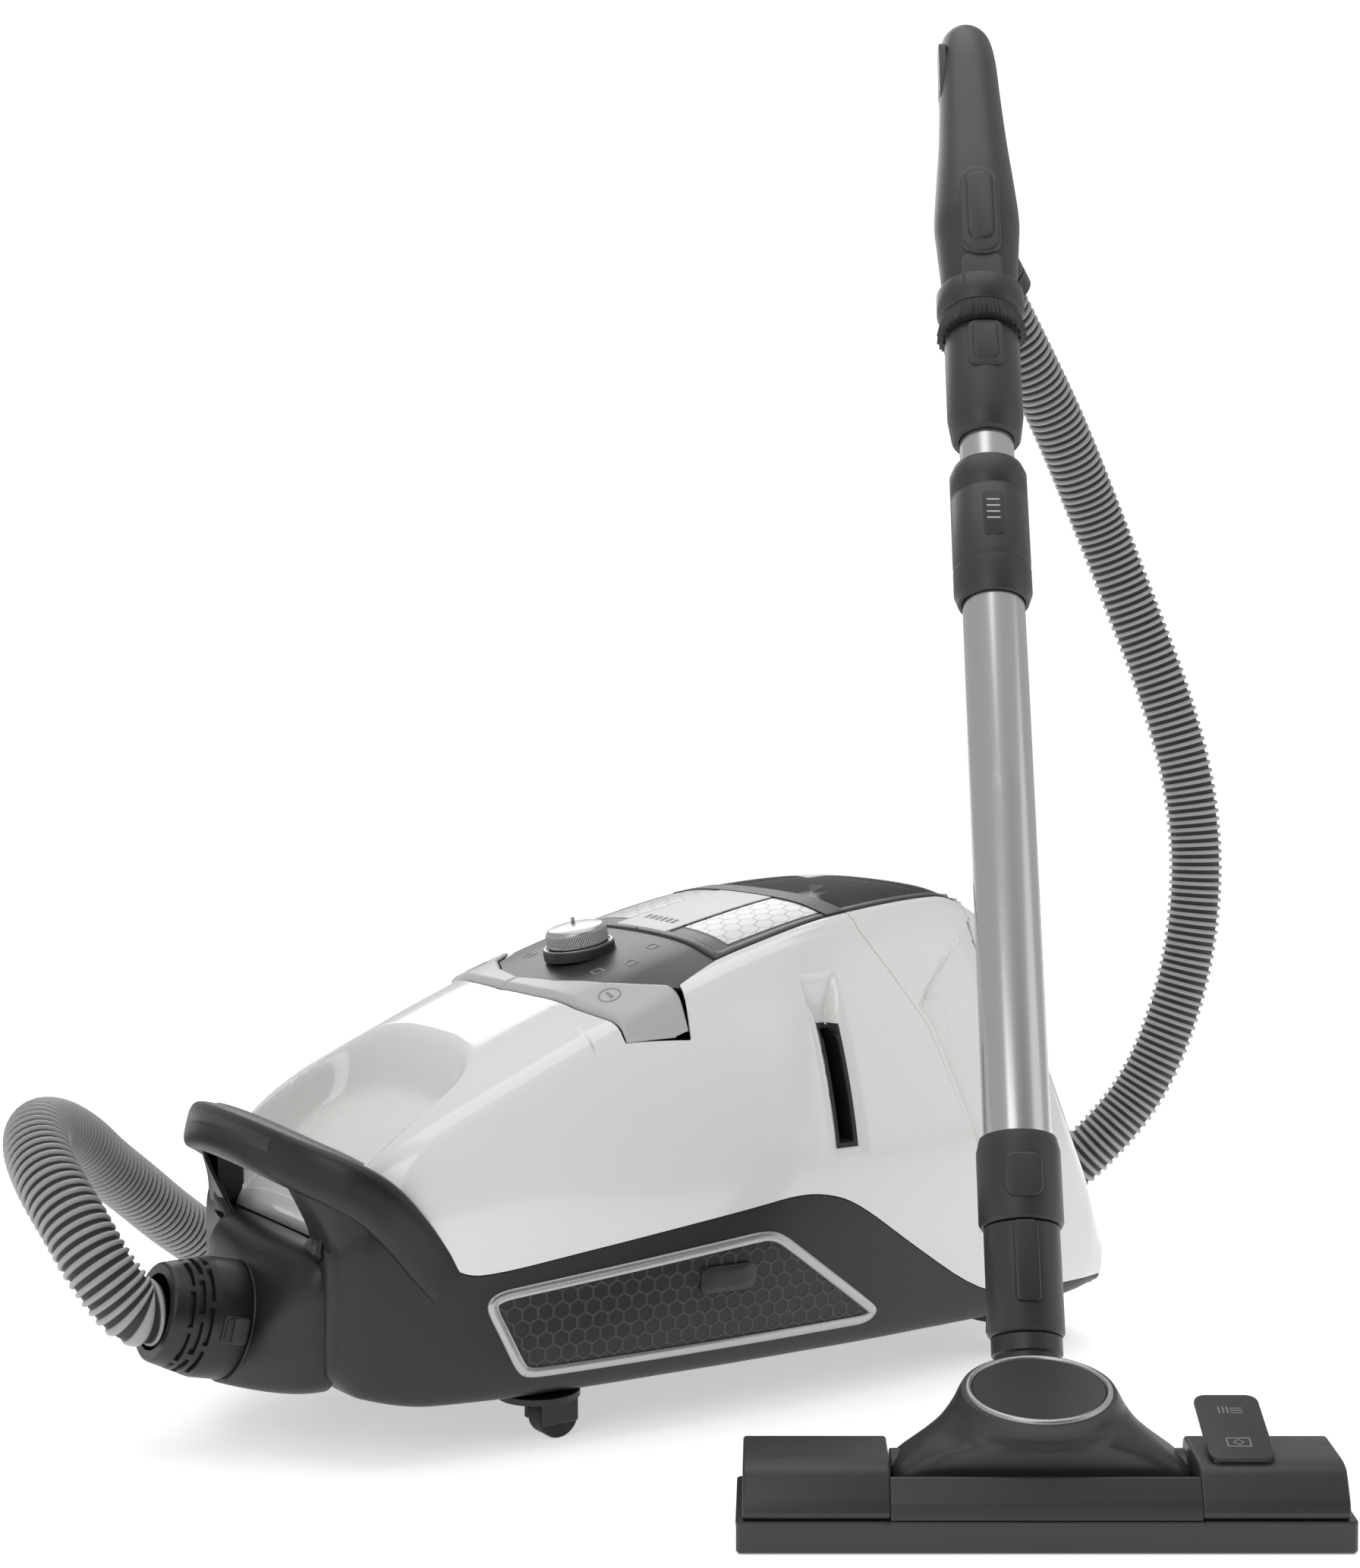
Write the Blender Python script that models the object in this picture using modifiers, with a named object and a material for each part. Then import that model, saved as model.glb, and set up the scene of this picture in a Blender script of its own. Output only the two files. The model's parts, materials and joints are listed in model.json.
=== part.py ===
"""Canister vacuum cleaner: wedge-shaped canister on four casters, hose, telescopic wand and floorhead."""
import math
import bpy
import bmesh
import numpy as np
from mathutils import Matrix, Vector

MM = 0.001
GAP = 0.4                      # clearance between touching pieces, mm
WALL = 3.0                     # moulded wall thickness, mm

# Canister frame: x from the nose to the tail, y across (near side is -y), z up, all in mm.
HEAD_AT = (227.7, -388.2)      # front middle of the floorhead in the canister frame, mm
HEAD_TURN = -35.0              # heading of the floorhead against the canister, degrees
LEAN = 28.55                   # wand lean from upright, degrees
PIVOT = (0.0, 60.2, 3.3)       # a point of the wand axis in the floorhead frame, mm

# x, half width at floor edge, its height, half width at waist, its height, half width at shoulder, height, crown
STATIONS = [
    (0, 86, 48, 88, 104, 66, 140, 146), (14, 97, 36, 99, 104, 80, 154, 164),
    (50, 109, 29, 111, 104, 93, 178, 194), (110, 119, 28, 122, 104, 98, 206, 226),
    (180, 126, 28, 133, 110, 98, 234, 252), (260, 132, 28, 142, 124, 95, 260, 273),
    (335, 135, 28, 145, 132, 90, 276, 286), (405, 135, 28, 145, 136, 84, 281, 290),
    (450, 132, 29, 141, 128, 80, 262, 270), (486, 127, 31, 135, 90, 88, 160, 168),
    (504, 122, 33, 126, 58, 104, 76, 80),
]

# Edge between the dark casing and the white shell, (x, z).
WAISTLINE = [(-30, 150), (20, 150), (50, 112), (60, 103), (76, 101), (135, 109), (228, 121), (262, 126),
             (284, 123), (302, 115), (340, 87), (392, 52), (425, 44), (530, 42)]
REAR_SEAM = [(331, 320), (334, 268), (366, 212), (386, 140), (396, 40)]
GRILLE = [(72, 85), (79, 92), (237, 108), (248, 106), (320, 51), (313, 43), (98, 42), (91, 46)]

WAND_R, WAND_R_UPPER = 18.5, 16.6
CUFF_AT = Vector((-15.5, 0, 65.6))
CUFF_DIR = Vector((-math.cos(math.radians(14)), 0, math.sin(math.radians(14))))
HOSE_R = 20.0

# Route of the hose in the canister frame, mm: from the cuff round the far side to the handle.
HOSE_ROUTE = [
    (-92, 9, 103), (-100, 27, 126), (-104, 51, 144), (-101, 80, 157), (-90, 107, 162), (-71, 133, 156),
    (-49, 157, 142), (-28, 178, 124), (-2, 198, 103), (40, 224, 68), (85, 240, 38), (150, 248, 23),
    (240, 240, 21), (340, 226, 21), (440, 190, 21), (510, 140, 22), (556, 84, 30), (585, 45, 52),
    (612, 12, 82), (648, -10, 132), (672, -22, 200), (682, -25, 270), (680, -20, 336), (667, -9, 400),
    (646, 3, 462), (619, 10, 524), (580, 5, 584), (540, -3, 632), (514, -8, 662),
]

COLORS = {
    "white ABS": (0.86, 0.85, 0.83), "black ABS": (0.012, 0.012, 0.013), "dark grey ABS": (0.05, 0.05, 0.052),
    "light grey ABS": (0.55, 0.55, 0.56), "silver paint": (0.5, 0.5, 0.5), "stainless steel": (0.56, 0.56, 0.57),
    "grey hose": (0.22, 0.22, 0.22), "black bristle": (0.03, 0.028, 0.027), "smoked polycarbonate": (0.2, 0.21, 0.22),
    "copper and steel": (0.35, 0.2, 0.12), "filter fleece": (0.75, 0.75, 0.72), "black rubber": (0.02, 0.02, 0.02),
}
METAL = {"stainless steel", "copper and steel"}

for old in list(bpy.data.objects):
    bpy.data.objects.remove(old, do_unlink=True)
scene = bpy.context.scene
parts = bpy.data.collections.new("canister_vacuum_cleaner")
scene.collection.children.link(parts)


def material(kind):
    mat = bpy.data.materials.get(kind) or bpy.data.materials.new(kind)
    mat.use_nodes = True
    shader = mat.node_tree.nodes["Principled BSDF"]
    shader.inputs["Base Color"].default_value = (*COLORS[kind], 1)
    shader.inputs["Metallic"].default_value = 1.0 if kind in METAL else 0.0
    shader.inputs["Roughness"].default_value = 0.35
    return mat


def adopt(mesh, name="work"):
    obj = bpy.data.objects.new(name, mesh)
    scene.collection.objects.link(obj)
    return obj


def baked(obj):
    """Mesh object holding obj's evaluated shape in the common frame."""
    bpy.context.view_layer.update()
    graph = bpy.context.evaluated_depsgraph_get()
    mesh = bpy.data.meshes.new_from_object(obj.evaluated_get(graph))
    mesh.transform(obj.matrix_world)
    bpy.data.objects.remove(obj, do_unlink=True)
    return adopt(mesh)


def from_bmesh(bm):
    mesh = bpy.data.meshes.new("work")
    bmesh.ops.recalc_face_normals(bm, faces=bm.faces)
    bm.to_mesh(mesh)
    bm.free()
    return adopt(mesh)


def bevelled(obj, width, segments=2, angle=35):
    mod = obj.modifiers.new("Bevel", "BEVEL")
    mod.width, mod.segments = width, segments
    mod.limit_method, mod.angle_limit = "ANGLE", math.radians(angle)
    return baked(obj)


def box(low, high, bevel=0.0, segments=2):
    bm = bmesh.new()
    bmesh.ops.create_cube(bm, size=1.0)
    low, high = Vector(low), Vector(high)
    bmesh.ops.scale(bm, vec=high - low, verts=bm.verts)
    bmesh.ops.translate(bm, vec=(high + low) / 2, verts=bm.verts)
    obj = from_bmesh(bm)
    return bevelled(obj, bevel, segments) if bevel else obj


def along(start, direction):
    """Matrix taking +Z to direction and the origin to start."""
    turn = Vector((0, 0, 1)).rotation_difference(Vector(direction)).to_matrix().to_4x4()
    return Matrix.Translation(Vector(start)) @ turn


def moved(obj, matrix):
    obj.data.transform(matrix)
    return obj


def cylinder(start, end, radius, radius_end=None, segments=32):
    start, end = Vector(start), Vector(end)
    bm = bmesh.new()
    bmesh.ops.create_cone(bm, cap_ends=True, segments=segments, radius1=radius,
                          radius2=radius if radius_end is None else radius_end, depth=(end - start).length)
    return moved(from_bmesh(bm), along((start + end) / 2, end - start))


def revolved(profile, segments=32):
    """Solid of revolution round Z from (radius, z) points; closed ring when no point is on the axis."""
    bm = bmesh.new()
    verts = [bm.verts.new((r, 0, z)) for r, z in profile]
    for a, b in zip(verts, verts[1:]):
        bm.edges.new((a, b))
    if min(r for r, _ in profile) > 1e-6:
        bm.edges.new((verts[-1], verts[0]))
    mesh = bpy.data.meshes.new("work")
    bm.to_mesh(mesh)
    bm.free()
    obj = adopt(mesh)
    mod = obj.modifiers.new("Screw", "SCREW")
    mod.steps = mod.render_steps = segments
    mod.use_merge_vertices, mod.merge_threshold = True, 0.0001
    mod.use_normal_calculate = True
    obj = baked(obj)
    bm = bmesh.new()
    bm.from_mesh(obj.data)
    bmesh.ops.recalc_face_normals(bm, faces=bm.faces)
    bm.to_mesh(obj.data)
    bm.free()
    return obj


def prism(outline, low, high, plane="xz"):
    """Flat outline filled and given thickness; plane xz runs along y, plane xy runs along z."""
    curve = bpy.data.curves.new("outline", "CURVE")
    curve.dimensions, curve.fill_mode, curve.extrude = "2D", "BOTH", (high - low) / 2
    line = curve.splines.new("POLY")
    line.points.add(len(outline) - 1)
    for point, (a, b) in zip(line.points, outline):
        point.co = (a, b, 0, 1)
    line.use_cyclic_u = True
    obj = bpy.data.objects.new("outline", curve)
    scene.collection.objects.link(obj)
    obj = baked(obj)
    bm = bmesh.new()
    bm.from_mesh(obj.data)
    bmesh.ops.remove_doubles(bm, verts=bm.verts, dist=0.0001)
    bmesh.ops.recalc_face_normals(bm, faces=bm.faces)
    bm.to_mesh(obj.data)
    bm.free()
    middle = (high + low) / 2
    if plane == "xy":
        return moved(obj, Matrix.Translation((0, 0, middle)))
    upright = Matrix(((1, 0, 0, 0), (0, 0, -1, middle), (0, 1, 0, 0), (0, 0, 0, 1)))
    return moved(obj, upright)


def combine(obj, tool, how):
    mod = obj.modifiers.new("Boolean", "BOOLEAN")
    mod.operation, mod.solver, mod.object = how, "EXACT", tool
    result = baked(obj)
    bpy.data.objects.remove(tool, do_unlink=True)
    return result


def cut(obj, *tools):
    for tool in tools:
        obj = combine(obj, tool, "DIFFERENCE")
    return obj


def join(obj, *tools):
    for tool in tools:
        obj = combine(obj, tool, "UNION")
    return obj


def common(obj, tool):
    return combine(obj, tool, "INTERSECT")


def copy_of(obj):
    return adopt(obj.data.copy())


def grown(outline, amount):
    """Outline moved outwards by amount along its corner normals."""
    pts = np.array(outline, float)
    area = np.sum(pts[:, 0] * np.roll(pts[:, 1], -1) - np.roll(pts[:, 0], -1) * pts[:, 1])
    ahead, back = np.roll(pts, -1, 0) - pts, pts - np.roll(pts, 1, 0)
    ahead /= np.linalg.norm(ahead, axis=1)[:, None]
    back /= np.linalg.norm(back, axis=1)[:, None]
    sign = 1 if area > 0 else -1
    n1 = sign * np.stack([ahead[:, 1], -ahead[:, 0]], 1)
    n2 = sign * np.stack([back[:, 1], -back[:, 0]], 1)
    mid = (n1 + n2) / (1 + np.sum(n1 * n2, 1))[:, None]
    return [tuple(p) for p in pts + mid * amount]


def half_section(values, inset):
    wb, zb, ww, zw, ws, zs, zc = values
    wb, ww, ws = wb - inset, ww - inset, ws - inset
    zb, zs, zc = zb + inset, zs - inset, zc - inset
    bulge = 0.55 * ww + 0.45 * ws + 7
    return [(0.0, zb), (wb - 16, zb), (wb - 4, zb + 4), (wb + 0.4 * (ww - wb), zb + 0.3 * (zw - zb)),
            (ww, zw), (bulge, zw + 0.5 * (zs - zw)), (ws + 7, zs - 9), (ws + 1, zs - 1.5), (ws - 9, zs + 1.5),
            (0.5 * ws, zs + 0.75 * (zc - zs)), (0.0, zc)]


def body_loft(inset, start, end):
    """Canister skin lofted through the stations, shrunk by inset."""
    table = np.array(STATIONS, float)
    xs = [start] + [row[0] for row in STATIONS if start + 3 < row[0] < end - 3] + [end]
    bm = bmesh.new()
    rings = []
    for x in xs:
        values = [float(np.interp(x, table[:, 0], table[:, i])) for i in range(1, 8)]
        half = half_section(values, inset)
        ring = [(-y, z) for y, z in half] + [(y, z) for y, z in half[-2:0:-1]]
        rings.append([bm.verts.new((x, y, z)) for y, z in ring])
    count = len(rings[0])
    for a, b in zip(rings, rings[1:]):
        for i in range(count):
            j = (i + 1) % count
            bm.faces.new((a[i], a[j], b[j], b[i]))
    bm.faces.new(rings[0])
    bm.faces.new(rings[-1])
    return from_bmesh(bm)


def loft_rings(rings):
    """Closed solid through rings with the same number of points."""
    bm = bmesh.new()
    rows = [[bm.verts.new(p) for p in ring] for ring in rings]
    count = len(rows[0])
    for a, b in zip(rows, rows[1:]):
        for i in range(count):
            j = (i + 1) % count
            bm.faces.new((a[i], a[j], b[j], b[i]))
    bm.faces.new(rows[0])
    bm.faces.new(rows[-1])
    return from_bmesh(bm)


def empty(name, location, rotation=(0, 0, 0), parent=None):
    obj = bpy.data.objects.new(name, None)
    parts.objects.link(obj)
    obj.location = Vector(location) * MM
    obj.rotation_euler = rotation
    obj.parent = parent
    return obj


def node(name, obj, kind, parent, origin=(0, 0, 0)):
    """Finish a sub-part: metres, origin on its joint axis, its own material, its frame as parent."""
    origin = Vector(origin)
    obj.data.transform(Matrix.Translation(-origin))
    obj.data.transform(Matrix.Scale(MM, 4))
    obj.name = obj.data.name = name
    obj.data.materials.clear()
    obj.data.materials.append(material(kind))
    scene.collection.objects.unlink(obj)
    parts.objects.link(obj)
    obj.parent = parent
    obj.location = origin * MM
    return obj


canister = empty("canister_frame", (0, 0, 0))
head = empty("floorhead_frame", HEAD_AT + (0,), (0, 0, math.radians(HEAD_TURN)), canister)
wand = empty("wand_frame", PIVOT, (math.radians(-LEAN), 0, 0), head)


# ---- canister housing ----
skin = body_loft(0, 0, 504)
core = body_loft(WALL, WALL, 504 - WALL)
shell = cut(copy_of(skin), core)
FAR = 200

below = WAISTLINE + [(530, -20), (-30, -20)]
above = [(x, z + GAP) for x, z in WAISTLINE] + [(530, 400), (-30, 400)]
behind = REAR_SEAM + [(396, -20), (600, -20), (600, 320)]
ahead = [(x - GAP, z) for x, z in REAR_SEAM] + [(396, -20), (-60, -20), (-60, 320)]

CASTERS = [("front_left", 118, -92), ("front_right", 118, 92), ("rear_left", 436, -108), ("rear_right", 436, 108)]

lower = common(copy_of(shell), prism(below, -FAR, FAR))
lower = cut(lower, box((-30, -72, 112), (30, 72, 200)))
lower = cut(lower, prism(grown(GRILLE, GAP), -FAR, FAR))
lower = cut(lower, cylinder(CUFF_AT - CUFF_DIR * 60, CUFF_AT + CUFF_DIR * 30, 24))
lower = join(lower, cylinder((296, 0, 29.5), (296, 0, 112), 9, segments=24))
node("lower_casing", lower, "black ABS", canister)

for side, sign in (("left", -1), ("right", 1)):
    span = (-FAR, 0) if sign < 0 else (0, FAR)
    inner = grown(GRILLE, -6)
    panel = common(copy_of(shell), prism(grown(inner, -GAP), *span))
    frame = common(copy_of(shell), prism(GRILLE, *span))
    frame = cut(frame, prism(inner, *span))
    node(f"exhaust_grille_{side}", panel, "black ABS", canister)
    node(f"grille_frame_{side}", frame, "silver paint", canister)

# Openings in the white shell: foot switches, panel, container lid and the park slot.
SWITCH_FRONT = [(146, 0), (148, 34), (154, 70), (166, 106)]
SWITCH_REAR = [(160, 0), (166, 34), (180, 64), (204, 93)]
switch_outline = [(x, y) for x, y in SWITCH_FRONT] + [(206, 112), (204, 93)] + SWITCH_REAR[-2::-1]
half_opening = [(146, 0)] + SWITCH_FRONT[1:] + [(206, 112), (209, 95), (238, 88), (330, 84.4), (424, 76.4), (424, 0)]
opening = half_opening[1:-1]
full_opening = [(146, 0)] + opening + [(424, 0)] + [(x, -y) for x, y in reversed(opening)]

# Behind the carry handle the shell is solid, so the finger bowl can be sunk into it.
upper = cut(copy_of(skin), cut(body_loft(WALL, WALL, 504 - WALL), box((-10, -88, 121), (104, 88, 270))))
upper = common(upper, prism(above, -FAR, FAR))
upper = common(upper, prism(ahead, -FAR, FAR))
bowl_mesh = bmesh.new()
bmesh.ops.create_uvsphere(bowl_mesh, u_segments=28, v_segments=16, radius=1.0)
bowl = moved(from_bmesh(bowl_mesh), Matrix.Translation((34, 0, 176)) @ Matrix.Diagonal((62, 80, 44, 1)))
upper = cut(upper, bowl, box((-30, -72.4, 100), (16, 72.4, 260)))
upper = cut(upper, prism(grown(full_opening, GAP), 190, 330, "xy"))
upper = cut(upper, box((290, -FAR, 150), (302, -90, 215)))
node("upper_shell", upper, "white ABS", canister)

guide = box((287.5, -133, 147), (304.5, -112, 218))
guide = cut(guide, box((290.5, -150, 150), (301.5, -115, 215)))
guide = cut(guide, cut(box((200, -FAR, 100), (400, 0, 300)), body_loft(WALL + GAP, 0, 504)))
node("park_slot_guide", guide, "black ABS", canister)

rear = common(copy_of(shell), prism(above, -FAR, FAR))
rear = common(rear, prism(behind, -FAR, FAR))
rear = cut(rear, prism(grown(full_opening, GAP), 190, 330, "xy"))
rear = cut(rear, cylinder((495, 62, 62), (515, 62, 62), 9.4, segments=24))
node("rear_shell", rear, "white ABS", canister)
grommet = revolved([(5.5, 0), (5.5, 12), (12, 12), (12, 7.4), (9, 7.4), (9, 0)], 24)
grommet = moved(grommet, along((497, 62, 62), (1, 0, 0)))
node("cord_inlet_grommet", grommet, "black rubber", canister)
bumper = box((504.4, -112, 33), (512, 112, 44), 2.0)
node("rear_bumper", bumper, "black rubber", canister)

# Carry handle: an arch over the nose whose feet stand on the casing's shoulders.
handle_path = [(24, -95, 152), (12, -92, 158), (-2, -82, 163), (-13, -62, 166.5), (-19, -32, 169), (-21, 0, 170)]
handle_path += [(x, -y, z) for x, y, z in reversed(handle_path[:-1])]
rings = []
for i, point in enumerate(handle_path):
    before = Vector(handle_path[max(i - 1, 0)])
    after = Vector(handle_path[min(i + 1, len(handle_path) - 1)])
    run = (after - before).normalized()
    up = Vector((0, 0, 1))
    out = run.cross(up).normalized()
    ring = [(Vector(point) + out * 9.5 * math.cos(t) * (1 - 0.15 * abs(math.sin(2 * t)))
             + up * 11.5 * math.sin(t)) for t in np.linspace(0, 2 * math.pi, 13)[:-1]]
    rings.append(ring)
grip = loft_rings(rings)
grip = cut(grip, body_loft(-2 * GAP, -2 * GAP, 504))
node("carry_handle", grip, "black ABS", canister)

# Nose cover with the hose socket.
nose = box((-15.5, -64, 34), (-GAP, 64, 112), 6, 2)
nose = join(nose, cylinder(CUFF_AT - CUFF_DIR * 10, CUFF_AT + CUFF_DIR * 9, 34.5, segments=40))
nose = cut(nose, cylinder(CUFF_AT - CUFF_DIR * 60, CUFF_AT + CUFF_DIR * 30, 28, segments=40))
nose = cut(nose, box((-GAP, -100, 0), (60, 100, 150)))
node("inlet_housing", nose, "black ABS", canister)

cuff_start = CUFF_AT - CUFF_DIR * 6
cuff = revolved([(20.5, 0), (27.5, 0), (27.5, 15.4), (32, 15.4), (32, 34), (30, 36), (27.5, 52), (26, 58),
                 (20.5, 58)], 40)
pockets = [box((-7.4, 26.5, 18), (7.4, 40, 30.6)), box((-7.4, -40, 18), (7.4, -26.5, 30.6))]
cuff = cut(cuff, *pockets)
side_axis = Vector((0, 1, 0))
third = side_axis.cross(CUFF_DIR)
cuff_frame = Matrix((
    (third.x, side_axis.x, CUFF_DIR.x, cuff_start.x), (third.y, side_axis.y, CUFF_DIR.y, cuff_start.y),
    (third.z, side_axis.z, CUFF_DIR.z, cuff_start.z), (0, 0, 0, 1)))
node("hose_cuff", moved(cuff, cuff_frame), "black ABS", canister, cuff_start)
for side, sign in (("left", -1), ("right", 1)):
    latch = box((-7, 27 + 2.6, 18.4), (7, 33.6, 30.2), 0.8, 1)
    if sign < 0:
        latch = moved(latch, Matrix.Rotation(math.pi, 4, "Z"))
    origin = cuff_frame @ Vector((0, sign * 31, 24.3))
    node(f"cuff_latch_{side}", moved(latch, cuff_frame), "black ABS", canister, origin)

# Foot switches, panel and speed knob.
for name, sign in (("power_pedal", -1), ("rewind_pedal", 1)):
    outline = [(x, sign * y) for x, y in switch_outline]
    slab = common(copy_of(shell), prism(outline, 190, 300, "xy"))
    strip = (GAP / 2, FAR) if sign > 0 else (-FAR, -GAP / 2)
    slab = common(slab, box((100, strip[0], 180), (240, strip[1], 320)))
    node(name, slab, "light grey ABS", canister, (204, sign * 80, 236))

panel_outline = [(160.4, 0)] + [(x + GAP, y) for x, y in SWITCH_REAR[1:]] + [(238, 87.3), (238, -87.3)]
panel_outline += [(x + GAP, -y) for x, y in reversed(SWITCH_REAR[1:])]
panel = common(copy_of(shell), prism(panel_outline, 190, 320, "xy"))
KNOB_TILT = math.radians(11)
knob_axis = Vector((-math.sin(KNOB_TILT), 0, math.cos(KNOB_TILT)))
knob_at = Vector((199, 0, 258.5))
panel = join(panel, cylinder(knob_at - knob_axis * 5, knob_at, 21, segments=32))
node("control_panel", panel, "dark grey ABS", canister)
knob = revolved([(0, 0.4), (18.2, 0.4), (18.2, 9.5), (16.8, 11.4), (0, 11.8)], 40)
knob = join(knob, box((-1.4, 4, 11), (1.4, 15, 13.4)))
knob = moved(knob, along(knob_at, knob_axis))
node("speed_knob", knob, "silver paint", canister, knob_at)

# Dust container with its lid, cyclone and outlet filter.
lid_outline = [(238.4, 87.3), (330, 84), (424, 76), (424, -76), (330, -84), (238.4, -87.3)]
lid = common(copy_of(shell), prism(lid_outline, 190, 320, "xy"))
node("container_lid", lid, "smoked polycarbonate", canister)
cup = box((243, -72, 128), (421, 72, 250), 12, 3)
cup = cut(cup, box((245.5, -69.5, 130.5), (418.5, 69.5, 260), 10, 3))
cup = cut(cup, box((200, -100, 236), (460, 100, 300)))
node("dust_container", cup, "smoked polycarbonate", canister)
cyclone = revolved([(52, 104), (50, 60), (30, 4), (28, 4), (48, 60), (50, 104)], 36)
node("cyclone_cone", moved(cyclone, Matrix.Translation((333, 0, 131))), "smoked polycarbonate", canister)
finder = revolved([(24, 18), (24, 96), (44, 96), (44, 99), (21.5, 99), (21.5, 18)], 32)
node("vortex_finder", moved(finder, Matrix.Translation((333, 0, 131))), "light grey ABS", canister)

# Inside the canister: blower, cord reel, outlet filter.
motor = revolved([(0, 0), (44, 0), (50, 6), (50, 58), (38, 64), (38, 84), (0, 88)], 36)
node("blower_motor", moved(motor, along((119, 0, 92), (1, 0, 0))), "copper and steel", canister)
fan = revolved([(0, 0), (46, 0), (46, 3), (12, 12), (0, 12)], 32)
node("blower_fan", moved(fan, along((118.5, 0, 92), (-1, 0, 0))), "silver paint", canister, (118.5, 0, 92))
reel = revolved([(9.5, 0), (84, 0), (84, 3), (38, 3), (38, 45), (84, 45), (84, 48), (9.5, 48)], 40)
node("cord_reel", moved(reel, Matrix.Translation((296, 0, 46))), "dark grey ABS", canister, (296, 0, 46))
node("exhaust_filter", box((402, -88, 48), (442, 88, 120), 2, 1), "filter fleece", canister)

# Casters: plate with two cheeks and a pin; wheel free on the pin.
TRAIL, WHEEL_R = 9.0, 12.0
for name, x, y in CASTERS:
    fork = cylinder((x, y, 24.2), (x, y, 27.6), 23, segments=28)
    for sign in (-1, 1):
        fork = join(fork, box((x - 3, y + sign * 9.9 - 1.5, 9), (x + 19, y + sign * 9.9 + 1.5, 25), 1.0, 1))
    fork = join(fork, cylinder((x + TRAIL, y - 10, WHEEL_R), (x + TRAIL, y + 10, WHEEL_R), 2.2, segments=12))
    node(f"caster_fork_{name}", fork, "black ABS", canister, (x, y, 26))
    wheel = revolved([(2.6, -8), (11, -8), (12, -6.5), (12, 6.5), (11, 8), (2.6, 8)], 28)
    wheel = moved(wheel, along((x + TRAIL, y, WHEEL_R), (0, 1, 0)))
    node(f"caster_wheel_{name}", wheel, "black rubber", canister, (x + TRAIL, y, WHEEL_R))


# ---- hose ----
def smooth_route(points, step):
    """Catmull-Rom curve through points, resampled at even steps."""
    pts = np.array(points, float)
    pts = np.vstack([2 * pts[0] - pts[1], pts, 2 * pts[-1] - pts[-2]])
    dense = []
    for i in range(1, len(pts) - 2):
        for t in np.linspace(0, 1, 24, endpoint=False):
            a, b, c, d = pts[i - 1:i + 3]
            dense.append(0.5 * ((2 * b) + (c - a) * t + (2 * a - 5 * b + 4 * c - d) * t ** 2
                                + (3 * b - a - 3 * c + d) * t ** 3))
    dense = np.array(dense + [pts[-2]])
    for _ in range(30):
        dense[1:-1] = 0.25 * dense[:-2] + 0.5 * dense[1:-1] + 0.25 * dense[2:]
    lengths = np.r_[0, np.cumsum(np.linalg.norm(np.diff(dense, axis=0), axis=1))]
    count = int(round(lengths[-1] / step)) + 1
    marks = np.linspace(0, lengths[-1], count)
    return np.stack([np.interp(marks, lengths, dense[:, k]) for k in range(3)], 1)


hose_start = cuff_start + CUFF_DIR * 58.3
BRANCH_AT = Vector((507.5, -9.5, 669.5))
route = [tuple(hose_start), tuple(hose_start + CUFF_DIR * 12)] + HOSE_ROUTE
route_points = smooth_route(route, 30.0)
route_points = np.vstack([route_points[:1], np.array(hose_start + CUFF_DIR * 9)[None], route_points[1:]])
curve = bpy.data.curves.new("hose", "CURVE")
curve.dimensions, curve.bevel_depth, curve.bevel_resolution = "3D", HOSE_R, 2
curve.use_fill_caps = True
line = curve.splines.new("POLY")
line.points.add(len(route_points) - 1)
for point, co in zip(line.points, route_points):
    point.co = (*co, 1)
hose = bpy.data.objects.new("hose", curve)
scene.collection.objects.link(hose)
node("hose", baked(hose), "grey hose", canister)
hose_end, hose_heading = Vector(route_points[-1]), Vector(route_points[-1] - route_points[-2]).normalized()


# ---- wand, built along its own axis (z is the distance from the frame's origin) ----
def tube_z(inner, outer, low, high, segments=32):
    return revolved([(inner, low), (outer, low), (outer, high), (inner, high)], segments)


node("lower_tube", tube_z(17.3, WAND_R, 160, 560, 36), "stainless steel", wand)
connector = revolved([(19, 142), (22.4, 145), (22.4, 182), (20.6, 191), (19, 191)], 36)
node("lower_connector", connector, "dark grey ABS", wand)
sleeve = revolved([(19, 519), (21, 519), (23.4, 526), (23.4, 607), (21, 613), (19, 613)], 36)
node("telescope_sleeve", sleeve, "dark grey ABS", wand, (0, 0, 566))
node("upper_tube", tube_z(15.6, WAND_R_UPPER, 230, 700, 36), "stainless steel", wand)
upper_connector = revolved([(17, 633), (20, 633), (23.4, 650), (23.4, 704), (21, 710), (17, 710)], 36)
upper_connector = cut(upper_connector, box((-8.4, -30, 678), (8.4, -19.4, 760)))
node("upper_connector", upper_connector, "dark grey ABS", wand)
button = box((-8, -25, 678.4), (8, -21.4, 706), 1.2, 1)
node("wand_release_button", button, "dark grey ABS", wand, (0, -22, 692))

collar = revolved([(23.8, 724), (25, 724), (27.5, 728), (27.5, 743), (23.8, 743)], 36)
node("dusting_brush_collar", collar, "dark grey ABS", wand)
bristles = revolved([(23.8, 710.6), (27.4, 710.6), (25.4, 723.6), (23.8, 723.6)], 36)
node("dusting_brush_bristles", bristles, "black bristle", wand)

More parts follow.
